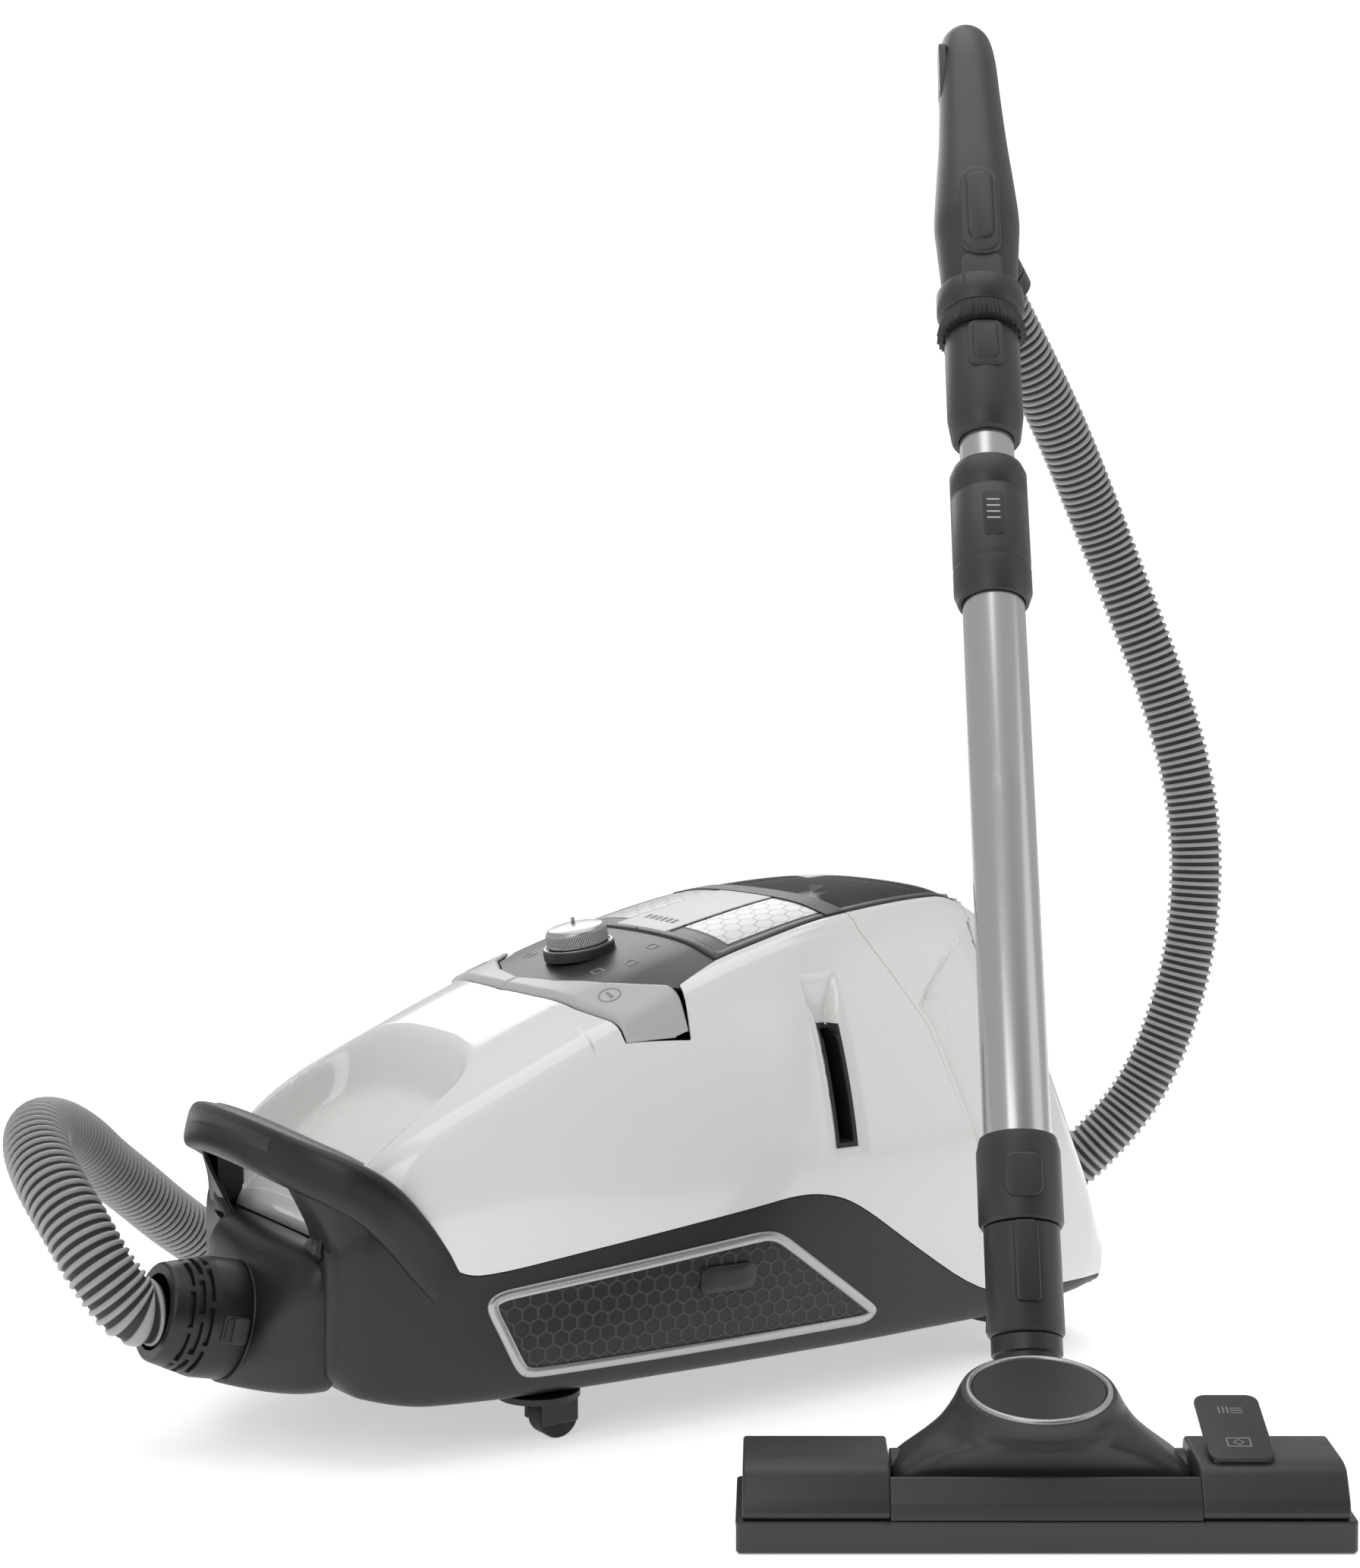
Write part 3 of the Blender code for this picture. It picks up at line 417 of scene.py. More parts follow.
def cubicPoints(points, between):
    # cubic curve through points: each stretch leaves and arrives parallel to its neighbours' chord
    pts = np.array(points, float)
    pts = np.vstack([2 * pts[0] - pts[1], pts, 2 * pts[-1] - pts[-2]])
    t = np.linspace(0, 1, between, endpoint=False)[:, None]
    parts = [0.5 * ((2 * b) + (c - a) * t + (2 * a - 5 * b + 4 * c - d) * t ** 2 + (3 * b - a - 3 * c + d)
                    * t ** 3)
             for a, b, c, d in zip(pts, pts[1:], pts[2:], pts[3:])]
    return np.vstack(parts + [pts[-2:-1]])


def curveThrough(points, count):
    # the same curve, evenly parted
    dense = cubicPoints(points, 16)
    run = runLength(dense[:, :3])
    marks = np.linspace(0, run[-1], count)
    return np.stack([np.interp(marks, run, dense[:, k]) for k in range(dense.shape[1])], 1)


def carried(path, start=None):
    # side and up vectors along a path, turned as little as possible from one point to the next
    run = np.gradient(path, axis=0)
    run /= np.linalg.norm(run, axis=1)[:, None]
    side = np.array(start if start is not None else (0, 0, 1), float)
    sides = []
    for direction in run:
        side = side - direction * np.dot(side, direction)
        side /= np.linalg.norm(side)
        sides.append(side)
    sides = np.array(sides)
    return run, sides, np.cross(run, sides)


# camera, light and floor
camera = bpy.data.objects.new("camera", bpy.data.cameras.new("camera"))
bpy.context.scene.collection.objects.link(camera)
camera.location = placed(canisterFrame, (-557.5, -1276.0, 431.2))
camera.rotation_euler = (math.radians(87), 0, math.radians(-35))
camera.data.sensor_fit, camera.data.sensor_height, camera.data.lens = "VERTICAL", 36, 57.5
camera.data.sensor_width = 36 * 1792 / 2066
camera.data.shift_x = -0.0557
camera.data.clip_end = 100
bpy.context.scene.camera = camera

floorMesh = bpy.data.meshes.new("studioFloor")
reach = 40.0
floorMesh.from_pydata([(-reach, -reach, 0), (reach, -reach, 0), (reach, reach, 0), (-reach, reach, 0)], [],
                      [(0, 1, 2, 3)])
floor = bpy.data.objects.new("studioFloor", floorMesh)
floorMat, floorShader = newMaterial("matteStudioFloor", "#f6f6f6", 0.75)[::2]
floorShader.inputs["Emission Color"].default_value = linear("#ffffff")
floorShader.inputs["Emission Strength"].default_value = 0.52   # lit from below until it burns out to white
floorMesh.materials.append(floorMat)
bpy.context.scene.collection.objects.link(floor)
world = bpy.data.worlds.new("studio")
world.use_nodes = True
soft = world.node_tree.nodes["Background"]
soft.inputs["Color"].default_value, soft.inputs["Strength"].default_value = (1, 1, 1, 1), 0.5
backdrop = addNode(world.node_tree, "ShaderNodeBackground", links={"Color": (1, 1, 1, 1), "Strength": 1.1})
seen = addNode(world.node_tree, "ShaderNodeLightPath")
gaze = addNode(world.node_tree, "ShaderNodeTexCoord").outputs["Generated"]
facing = addNode(world.node_tree, "ShaderNodeVectorMath", {"operation": "DOT_PRODUCT"},
                 {0: gaze, 1: (-0.231, -0.942, 0.1)})
flag = addNode(world.node_tree, "ShaderNodeMapRange", {"interpolation_type": "SMOOTHSTEP"},
               {"Value": facing.outputs["Value"], "From Min": 0.66, "From Max": 0.93, "To Min": 0.56,
                "To Max": 0.0})
# black flag between the side softboxes
world.node_tree.links.new(flag.outputs["Result"], soft.inputs["Strength"])
either = addNode(world.node_tree, "ShaderNodeMixShader",
                 links={0: seen.outputs["Is Camera Ray"], 1: soft.outputs[0], 2: backdrop.outputs[0]})
world.node_tree.links.new(either.outputs[0], world.node_tree.nodes["World Output"].inputs["Surface"])
bpy.context.scene.world = world
bpy.context.scene.view_settings.view_transform = "Standard"   # product shot on burnt-out white

lamps = {"overhead": ((0.0, 0.3, 2.6), (0, 0, 0), 22, 2.4), "keyLeft": ((-2.2, -1.4, 1.8), (60, 0, -58), 13, 1.5),
         "fillRight": ((1.9, -1.8, 1.1), (72, 0, 46), 4, 1.6), "rimBack": ((0.9, 2.3, 1.6), (-62, 0, -20), 12,
                                                                           1.4)}
for name, (spot, turn, power, size) in lamps.items():
    lamp = bpy.data.objects.new(name, bpy.data.lights.new(name, "AREA"))
    lamp.data.energy, lamp.data.size = power, size
    lamp.location, lamp.rotation_euler = spot, [math.radians(a) for a in turn]
    bpy.context.scene.collection.objects.link(lamp)
print("camera, floor and lamps made")

# hose: the route from the nose cuff round the far side and up to the handle
hose = {"pitch": 5.4, "valley": 16.2, "wire": 2.1, "samples": 10, "around": 26}
cuffDir = np.array([-math.cos(math.radians(14)), 0, math.sin(math.radians(14))])
cuffStart = np.array([-15.5, 0, 65.6]) - cuffDir * 6
hoseStart = cuffStart + cuffDir * 58.3
routeChosen = [
    (-92, 9, 103), (-100, 27, 126), (-104, 51, 144), (-101, 80, 157), (-90, 107, 162), (-71, 133, 156),
    (-49, 157, 142), (-28, 178, 124), (-2, 198, 103), (40, 224, 68), (85, 240, 38), (150, 248, 23),
    (240, 240, 21), (340, 226, 21), (440, 190, 21), (510, 140, 22), (556, 84, 30), (585, 45, 52),
    (612, 12, 82), (648, -10, 132), (672, -22, 200), (682, -25, 270), (680, -20, 336), (667, -9, 400),
    (646, 3, 462), (619, 10, 524), (580, 5, 584), (540, -3, 632), (514, -8, 662)]


def hoseRoute():
    # cubic curve through the chosen points, eased by repeated averaging of neighbours
    dense = cubicPoints([hoseStart, hoseStart + cuffDir * 12] + routeChosen, 24)
    for turn in range(30):
        dense[1:-1] = 0.25 * dense[:-2] + 0.5 * dense[1:-1] + 0.25 * dense[2:]
    return dense


dense = hoseRoute()
run = runLength(dense)
ribs = int(run[-1] / hose["pitch"])
marks = np.linspace(0, run[-1], ribs * hose["samples"] + 1)
centre = np.stack([np.interp(marks, run, dense[:, k]) for k in range(3)], 1)
direction, side, up = carried(centre)
phase = (np.arange(len(marks)) % hose["samples"]) / hose["samples"]
ribHeight = np.sqrt(np.clip(1 - ((phase - 0.5) / 0.3) ** 2, 0, 1))
angle = np.linspace(0, 2 * math.pi, hose["around"], endpoint=False)
radius = (hose["valley"] + hose["wire"] * ribHeight)[:, None, None]
grid = centre[:, None] + radius * (np.cos(angle)[None, :, None] * side[:, None] + np.sin(angle)[None, :, None]
                                   * up[:, None])
hoseSkin = surface("hoseSkin", "canister", hosePlastic, placed(canisterFrame, grid), ring=True, caps=True,
                   values=np.repeat(ribHeight[:, None], hose["around"], 1).astype(np.float32), smooth=80)
hoseSkin.parent = None
del hoseSkin["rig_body"]
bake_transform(hoseSkin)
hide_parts("hose")
hoseEnd, hoseHeading = centre[-1], (centre[-1] - centre[-20]) / np.linalg.norm(centre[-1] - centre[-20])
print("hose made", round(float(run[-1])), "mm")

# canister skin: stations along x, with half width and height at floor edge, waist, shoulder and crown
stations = np.array([
    (0, 86, 48, 88, 104, 66, 140, 146), (14, 97, 36, 99, 104, 80, 154, 164),
    (50, 109, 29, 111, 104, 93, 178, 194), (110, 119, 28, 122, 104, 98, 206, 226),
    (180, 126, 28, 133, 110, 98, 234, 252), (260, 132, 28, 142, 124, 95, 260, 273),
    (335, 135, 28, 145, 132, 90, 276, 286), (405, 135, 28, 145, 136, 84, 281, 290),
    (450, 132, 29, 141, 128, 80, 262, 270), (486, 127, 31, 135, 90, 88, 160, 168),
    (504, 122, 33, 126, 58, 104, 76, 80)], float)
skin = {"step": 0.5, "across": 260, "centre": (250, 0, 130)}
canisterCore = tuple(placed(canisterFrame, skin["centre"]))


def steadyCurve(x, knots, values):
    # monotone cubic: slopes are harmonic means of the neighbouring chords, so nothing overshoots
    gap, rise = np.diff(knots), np.diff(values)
    chord = rise / gap
    slope = np.zeros_like(values)
    same = chord[:-1] * chord[1:] > 0
    slope[1:-1][same] = 2 * chord[:-1][same] * chord[1:][same] / (chord[:-1] + chord[1:])[same]
    slope[0], slope[-1] = chord[0], chord[-1]
    i = np.clip(np.searchsorted(knots, x) - 1, 0, len(gap) - 1)
    t, h = (x - knots[i]) / gap[i], gap[i]
    return ((1 + 2 * t) * (1 - t) ** 2 * values[i] + t * (1 - t) ** 2 * h * slope[i]
            + t * t * (3 - 2 * t) * values[i + 1] + t * t * (t - 1) * h * slope[i + 1])


def cutCorners(points, rounds):
    # each edge gives two points at its quarters, over and over, which tends to a smooth spline
    for turn in range(rounds):
        a, b = points[:, :-1], points[:, 1:]
        points = np.stack([0.75 * a + 0.25 * b, 0.25 * a + 0.75 * b], 2).reshape(len(points), -1, 2)
    return points


xTable = np.arange(0, 504.01, skin["step"])
wb, zb, ww, zw, ws, zs, zc = [steadyCurve(xTable, stations[:, 0], stations[:, k]) for k in range(1, 8)]
corners = np.stack([
    np.stack([-(wb - 16), zb], 1), np.stack([wb - 16, zb], 1), np.stack([wb - 4, zb + 4], 1),
    np.stack([wb + 0.4 * (ww - wb), zb + 0.3 * (zw - zb)], 1), np.stack([ww, zw], 1),
    np.stack([0.55 * ww + 0.45 * ws + 7, zw + 0.5 * (zs - zw)], 1), np.stack([ws + 7, zs - 9], 1),
    np.stack([ws + 1, zs - 1.5], 1), np.stack([ws - 9, zs + 1.5], 1),
    np.stack([0.5 * ws, zs + 0.75 * (zc - zs)], 1), np.stack([-0.5 * ws, zs + 0.75 * (zc - zs)], 1)], 1)
fine = cutCorners(corners, 4)
rowZero = fine[0, :, 0]
first = int(np.argmax(rowZero >= 0))
last = len(rowZero) - int(np.argmax(rowZero[::-1] >= 0))
ends = [(fine[:, first - 1:first] + fine[:, first:first + 1]) / 2,
        (fine[:, last - 1:last] + fine[:, last:last + 1]) / 2]
for end in ends:
    end[..., 0] = 0
half = np.concatenate([ends[0], fine[:, first:last], ends[1]], 1)
Y, Z = np.empty((len(xTable), skin["across"])), np.empty((len(xTable), skin["across"]))
for i, row in enumerate(half):
    length = runLength(row)
    even = np.linspace(0, length[-1], skin["across"])
    Y[i], Z[i] = np.interp(even, length, row[:, 0]), np.interp(even, length, row[:, 1])
steps = np.arange(skin["across"])
yGrid, zGrid = np.arange(0, 150, 0.5), np.arange(20, 300, 0.5)
topTable = np.array([np.interp(yGrid, Y[i, :np.argmax(Y[i]) - 1:-1], Z[i, :np.argmax(Y[i]) - 1:-1])
                     for i in range(len(xTable))])
sideTable = np.array([np.interp(zGrid, Z[i] + steps * 1e-6, Y[i]) for i in range(len(xTable))])


def lookUp(table, x, other, start):
    # value between the four nearest entries of a half-millimetre table
    i, j = np.clip(x / 0.5, 0, len(table) - 1.001), np.clip((other - start) / 0.5, 0, table.shape[1] - 1.001)
    a, b = i.astype(int), j.astype(int)
    u, v = i - a, j - b
    return ((1 - u) * (1 - v) * table[a, b] + u * (1 - v) * table[a + 1, b] + (1 - u) * v * table[a, b + 1]
            + u * v * table[a + 1, b + 1])


def topHeight(x, y):
    return lookUp(topTable, np.asarray(x, float), np.abs(np.asarray(y, float)), 0)


def sideWidth(x, z):
    return lookUp(sideTable, np.asarray(x, float), np.asarray(z, float), 20)


def skinPoint(x, t):
    return lookUp(Y, x, t / 2, 0), lookUp(Z, x, t / 2, 0)


waist = cutCorners(np.array([[(-30, 150), (20, 150), (50, 112), (60, 103), (76, 101), (135, 109), (228, 121),
                              (262, 126), (284, 123), (302, 115), (340, 87), (392, 52), (425, 44), (530, 42)]],
                            float), 2)[0]
seam = np.array([(331, 320), (334, 268), (366, 212), (386, 140), (396, 40)], float)
openingEdge = np.array([(0, 0), (145.9, 0), (146, 2), (148, 34), (154, 70), (166, 106), (206, 112), (209, 95),
                        (238, 88), (330, 84.4), (424, 76.4), (424.5, 0), (504, 0)], float)


def stepAtHeight(x, z):
    # position along each section where it first reaches z
    return np.array([np.interp(b, Z[min(int(a / 0.5 + 0.5), len(Z) - 1)] + steps * 1e-6, steps) for a,
                     b in zip(x, z)])


def stepAtEdge(x, y):
    found = []
    for a, b in zip(x, y):
        row = Y[min(int(a / 0.5 + 0.5), len(Y) - 1)]
        wide = int(np.argmax(row))
        found.append(np.interp(b, row[:wide - 1:-1], steps[:wide - 1:-1]))
    return np.array(found)


xFine = np.r_[np.arange(0, 140, 1.0), np.arange(140, 240, 0.25), np.arange(240, 420, 1.0),
              np.arange(420, 430, 0.25), np.arange(430, 504.1, 0.5)]
waistStep = stepAtHeight(xFine, np.interp(xFine, waist[:, 0], waist[:, 1]))
edgeStep = stepAtEdge(xFine, np.interp(xFine, openingEdge[:, 0], openingEdge[:, 1]))


def skinStrip(x, lowStep, highStep, columns):
    # rows at x, each evenly parted from one step of its section to another
    t = lowStep[:, None] + (highStep - lowStep)[:, None] * np.linspace(0, 1, columns)
    rows = np.repeat(x[:, None], columns, 1)
    y, z = skinPoint(rows, t)
    return np.stack([rows, y, z], -1)


def basin(points):
    # the finger scoop behind the carry handle: a rounded-square hollow that sinks 34 mm below the skin
    x, y, z = points[..., 0], points[..., 1], points[..., 2]
    r = (np.abs((x - 14) / 86) ** 4.6 + np.abs(y / 79) ** 4.6) ** (1 / 4.6)
    s = np.clip((1 - r) / 0.13, 0, 1)
    points[..., 2] = z - (30 + 6 * np.clip((60 - x) / 60, 0, 1)) * s * s * (3 - 2 * s)
    return points


def ease(a):
    a = np.clip(a, 0, 1)
    return a * a * (3 - 2 * a)


park = {"at": 296, "dish": (142, 246), "dishHalf": 13.5, "dishDepth": 2.2, "slit": (151, 214), "slitHalf": 4.9,
        "slitDepth": 15, "funnelZ": [212, 222, 242], "funnelHalf": [6.0, 8.5, 12.5], "funnelDepth": 9}


def slotDepth(x, z, room=0.0):
    # parking slot: a shallow dish with a soft border, a funnel above and a narrow slit
    away = np.abs(x - park["at"])
    border = np.minimum(park["dishHalf"] - away, np.minimum(z - park["dish"][0], park["dish"][1] - z))
    mouth = np.interp(z, park["funnelZ"], park["funnelHalf"]) - away
    funnel = ease(mouth / 3.0) * ease((z - 208) / 3) * ease((park["dish"][1] - z) / 26) * park["funnelDepth"]
    within = np.minimum(park["slitHalf"] - away, np.minimum(z - park["slit"][0], park["slit"][1] - z))
    slit = ease((within + room) / 1.2) * (park["slitDepth"] + 2 * room)
    return park["dishDepth"] * ease(border / 4.5) + np.maximum(funnel, slit)


upper = {"wall": 1.4, "edge": 0.5, "columns": 120}
rowsUpper = np.unique(np.r_[np.arange(16, 108, 1.8), np.arange(108, 144, 3), np.arange(144, 168, 0.75),
                            np.arange(168, 204, 3),
                            np.arange(204, 211, 0.7), np.arange(211, 276, 3), np.arange(276, 317, 0.9),
                            np.arange(317, 341, 3)])
v = np.linspace(0, 1, upper["columns"])
X = np.repeat(rowsUpper[:, None], upper["columns"], 1)
for turn in range(6):
    lowT, highT = np.interp(X, xFine, waistStep), np.interp(X, xFine, edgeStep)
    t = lowT + (highT - lowT) * v
    lastZ = skinPoint(X[-1], t[-1])[1]
    stop = np.interp(-lastZ, -seam[:, 1], seam[:, 0]) - 0.3
    X = np.where(rowsUpper[:, None] < 260, rowsUpper[:, None],
                 260 + (rowsUpper[:, None] - 260) * (stop - 260) / (rowsUpper[-1] - 260))
lowT, highT = np.interp(X, xFine, waistStep), np.interp(X, xFine, edgeStep)
t = lowT + (highT - lowT) * v
y, z = skinPoint(X, t)
far = basin(np.stack([X, y, z], -1))
near = far * (1, -1, 1) + np.stack([X * 0, slotDepth(X, z, 1.4) * (y > 100), X * 0], -1)
joined = np.ones((len(X) - 1, 2 * upper["columns"] - 1), bool)
joined[:, upper["columns"] - 1] = rowsUpper[1:] < 146   # behind this the lid opening parts the two halves
surface("upperShell", "canister", whiteAbs, placed(canisterFrame, np.concatenate([near, far[:, ::-1]], 1)),
        nodes=("upper_shell",),
        wall=upper["wall"], edge=upper["edge"], inside=canisterCore, keep=joined, smooth=42)

rowsRear = np.unique(np.r_[np.linspace(0, 0.42, 72), np.linspace(0.42, 0.62, 16), np.linspace(0.62, 1, 44)])
X = np.repeat(340 + (504 - 340) * rowsRear[:, None], upper["columns"], 1)
start = np.full(upper["columns"], 340.0)
for turn in range(8):
    X = start + (504 - start) * rowsRear[:, None]
    lowT, highT = np.interp(X, xFine, waistStep), np.interp(X, xFine, edgeStep)
    t = lowT + (highT - lowT) * v
    firstZ = skinPoint(X[0], t[0])[1]
    start = 0.5 * start + 0.5 * (np.interp(-firstZ, -seam[:, 1], seam[:, 0]) + 0.3)
y, z = skinPoint(X, t)
grid = np.stack([X, y, z], -1)
rearDish = {"tip": (351, 190), "bow": 50, "reach": 62, "depth": 4.2, "flapX": (360, 384), "flapZ": (196, 226)}
edgeOfDish = np.maximum(rearDish["tip"][0] + rearDish["bow"]
                        * ((z - rearDish["tip"][1]) / rearDish["reach"]) ** 2,
                        np.interp(-z, -seam[:, 1], seam[:, 0]) + 3)
into = np.clip((X - edgeOfDish) / 2.5, 0, 1) * np.clip((440 - X) / 70, 0, 1) * np.clip((z - 118) / 6, 0, 1)
flap = np.clip(X - rearDish["flapX"][0], 0, 1) * np.clip(rearDish["flapX"][1] - X, 0, 1)
flap *= np.clip(z - rearDish["flapZ"][0], 0, 1) * np.clip(rearDish["flapZ"][1] - z, 0, 1)
grid[..., 1] -= (rearDish["depth"] * into - 0.7 * flap * into) * (y > 90)
tail = np.stack([np.full(upper["columns"], 504.2), grid[-1, :, 1] * 0.5, 42 + (grid[-1, :, 2] - 42) * 0.5], -1)
tailEnd = np.stack([np.full(upper["columns"], 504.3), grid[-1, :, 1] * 0, grid[-1, :, 2] * 0 + 42], -1)
grid = np.concatenate([grid, tail[None], tailEnd[None]])
surface("rearShell", "canister", whiteAbs, placed(canisterFrame, grid), nodes=("rear_shell",), wall=2.4, edge=0.5,
        inside=canisterCore, mirror=True, smooth=42)
print("white shells made")

# dark casing: bottom and flanks up to the waistline, closed in front by a wall with a ledge under the handle
rows = np.unique(np.r_[np.arange(0, 80, 1.5), np.arange(80, 440, 4), np.arange(440, 504.1, 3), 504])
top = np.interp(rows, xFine, waistStep) - 0.3
top[rows < 16] = np.minimum(top[rows < 16], stepAtEdge(rows[rows < 16], np.full((rows < 16).sum(), 72.0)))
grid = skinStrip(rows, np.zeros(len(rows)), top, 90)
surface("lowerCasing", "canister", blackAbs, placed(canisterFrame, grid), nodes=("lower_casing",), wall=2.4,
        edge=0.4, inside=canisterCore, mirror=True, smooth=42)
rim = np.vstack([grid[0, :, 1:], [(72, 130), (72, 112), (36, 112), (0, 112)]])
shrink = np.linspace(1, 0, 6)
wall = np.stack([np.stack([np.full(len(rim), -0.2 * (1 - s)), rim[:, 0] * s, 80 + (rim[:, 1] - 80) * s], 1)
                 for s in shrink])
surface("frontWall", "canister", blackAbs, placed(canisterFrame, wall), wall=1.5, inside=canisterCore,
        mirror=True)
y = np.linspace(0, 73, 40)
lip = basin(np.stack([np.full(40, 16.0), y, topHeight(16, y)], -1))[:, 2]
apron = np.stack([np.stack([np.full(40, 16.0), y, lip], 1), np.stack([np.full(40, 15.2), y, lip - 1.2], 1),
                  np.stack([np.full(40, 14.6), y, np.full(40, 122.0)], 1),
                  np.stack([np.full(40, 11.0), y, np.full(40, 114.5)], 1)])
surface("basinApron", "canister", whiteAbs, placed(canisterFrame, apron), wall=1.2, mirror=True,
        inside=tuple(placed(canisterFrame, (60, 0, 110))))
ledgeProfile = ((13, 114), (6, 113), (0.5, 112), (-0.2, 111))
ledge = np.stack([np.stack([np.full(40, x), y, np.full(40, z)], 1) for x, z in ledgeProfile])
surface("noseLedge", "canister", blackAbs, placed(canisterFrame, ledge), wall=1.2, mirror=True,
        inside=canisterCore)
cheek = np.stack([np.stack([np.full(8, x), np.full(8, 72.4 + 0.02 * x),
                            np.linspace(111, 150 if x < 8 else 160, 8)], 1)
                  for x in np.linspace(-0.2, 16, 8)])
surface("noseCheeks", "canister", blackAbs, placed(canisterFrame, cheek), wall=2.5, mirror=True,
        inside=canisterCore)

# carry handle: a broad rounded band on a smooth arch that flows down into the casing's shoulders
handleArch = {"points": [(54, -108.5, 98), (45, -107, 109), (33, -103.5, 126), (19, -97.5, 143),
                         (3, -87, 154.5), (-11, -67, 162.5),
                         (-18.5, -35, 167.5), (-20.5, 0, 169)], "thick": 8.4, "deep": 13.4, "taper": 55}
arch = handleArch["points"] + [(x, -y, z) for x, y, z in handleArch["points"][-2::-1]]
line = curveThrough(arch, 160)
direction = carried(line)[0]
ups = np.array([0.25, 0, 1.0]) - direction * (direction @ np.array([0.25, 0, 1.0]))[:, None]
ups /= np.linalg.norm(ups, axis=1)[:, None]
outs = np.cross(direction, ups)
a = np.linspace(0, 2 * math.pi, 56, endpoint=False)
squeeze = 0.6
length = runLength(line)
taper = np.clip(np.minimum(length, length[-1] - length) / handleArch["taper"], 0, 1)
taper = taper * taper * (3 - 2 * taper)
cosA, sinA = np.sign(np.cos(a)) * np.abs(np.cos(a)) ** squeeze, np.sign(np.sin(a)) * np.abs(np.sin(a)) ** squeeze
thickness = handleArch["thick"] * (0.5 + 0.5 * taper)[:, None, None]
tallness = (handleArch["deep"] * (0.9 + 0.1 * taper))[:, None, None]
grid = line[:, None] + outs[:, None] * thickness * cosA[None, :, None]
grid = grid + ups[:, None] * tallness * sinA[None, :, None]
surface("carryHandle", "canister", blackAbs, placed(canisterFrame, grid), ring=True, caps=True,
        nodes=("carry_handle",), smooth=50)
outSign = 1 if outs[80][0] > 0 else -1   # outs may point to the nose or away from it
front = slice(56, 104)
padEdge = np.linspace(-1, 1, 14)
pad = (line[front][:, None] + ups[front][:, None] * (4 + 4.2 * padEdge)[None, :, None]
       - outs[front][:, None] * outSign * (8.75 - 0.7 * padEdge ** 2)[None, :, None])
surface("handlePad", "canister", panelAbs, placed(canisterFrame, pad), wall=1.0, edge=0.3,
        inside=tuple(placed(canisterFrame, (0, 0, 150))))
rimShape = [(6.4, 9.8), (8.6, 8.6), (9.4, 10.2), (8.4, 12.6), (5.6, 13.9)]
rimRows = slice(34, 126)
rim = np.stack([line[rimRows] + outs[rimRows] * outSign * o + ups[rimRows] * u for o, u in rimShape], 1)
surface("handleRim", "canister", whiteAbs, placed(canisterFrame, rim), ring=True, caps=True, smooth=60)

# cheeks of the handle slot: from the band's underside down to the casing's corners, round towards the middle
v, w = np.meshgrid(np.linspace(0, 1, 30), np.linspace(0, 1, 40), indexing="ij")
under = (line - ups * 7 + outs * outSign * 1.0)[:80][::-1]
place = np.arange(80.0)
startAt = np.interp(47 + 13 * np.sqrt(np.clip(1 - (2 * v - 1) ** 2, 0, 1)), np.abs(under[:, 1]), place)
along = startAt + (79 - startAt) * w
bandX, bandY, bandZ = [np.interp(along, place, under[:, k]) for k in range(3)]
footX = np.interp(np.abs(bandY), [0, 84, 88, 93, 99, 111], [-0.6, -0.6, 1, 7, 15, 50]) + 1.2
footZ = np.minimum(np.interp(np.abs(bandY), [0, 72, 84, 111], [111, 110, 104, 96]), bandZ - 3)
x = bandX + (footX - bandX) * ease(v)
z = bandZ + (footZ - bandZ) * v
surface("handleCheeks", "canister", blackAbs, placed(canisterFrame, np.stack([x, np.abs(bandY), z], -1)),
        wall=2.0, edge=0.6, mirror=True, inside=tuple(placed(canisterFrame, (60, 0, 120))), smooth=50)

# nose cover: swells from a rounded rectangle on the casing to the round hose socket
nose = {"width": 146, "low": 33, "high": 116, "socket": 34.0}
a = np.linspace(0, 2 * math.pi, 128, endpoint=False)
power = 0.42
baseY = np.sign(np.cos(a)) * np.abs(np.cos(a)) ** power * nose["width"] / 2
baseZ = (nose["low"] + nose["high"]) / 2 + np.sign(np.sin(a)) * np.abs(np.sin(a)) ** power * (nose["high"]
                                                                                              - nose["low"]) / 2
end = np.array([-15.5, 0, 65.6]) + cuffDir * 9
upDir = np.array([math.sin(math.radians(14)), 0, math.cos(math.radians(14))])
circle = end + nose["socket"] * (np.cos(a)[:, None] * np.array([0, 1, 0]) + np.sin(a)[:, None] * upDir)
base = np.stack([np.full(128, 6.0), baseY, baseZ], 1)
rowsNose = []
for s in np.linspace(0, 1, 40):
    outwards = math.sin(s * math.pi / 2) ** 0.8
    shape = s * s * (3 - 2 * s)
    point = base + (circle - base) * shape
    point[:, 0] = base[:, 0] + (circle[:, 0] - base[:, 0]) * outwards
    rowsNose.append(point)
inner = end + 28.4 * (np.cos(a)[:, None] * np.array([0, 1, 0]) + np.sin(a)[:, None] * upDir)
rowsNose += [end + (circle - end) * 0.985 + cuffDir * 0.6, inner + cuffDir * 0.6, inner - cuffDir * 16]
surface("noseCover", "canister", blackAbs, placed(canisterFrame, np.array(rowsNose)), ring=True,
        nodes=("inlet_housing",), inside=tuple(placed(canisterFrame, (20, 0, 70))), smooth=30)
print("nose made")

# hose cuff: a smooth barrel, three rings of slots and a rolled lip
cuffFrame = aimed(canisterFrame, cuffStart, cuffDir, (0, 1, 0))
cuff = {"rings": (38.5, 43.5, 48.5), "ringWidth": 2.6, "slots": 8, "depth": 2.6}
profile = [(27.3, 0), (27.3, 15), (32.0, 15.6), (32.4, 17), (32.4, 33)]
profile += [(32.4 - (z - 33) * 0.25, z) for z in np.arange(33.5, 56, 0.4)] + [(26.2, 57.2), (25.2, 58),
                                                                              (20.5, 58), (20.5, 0)]


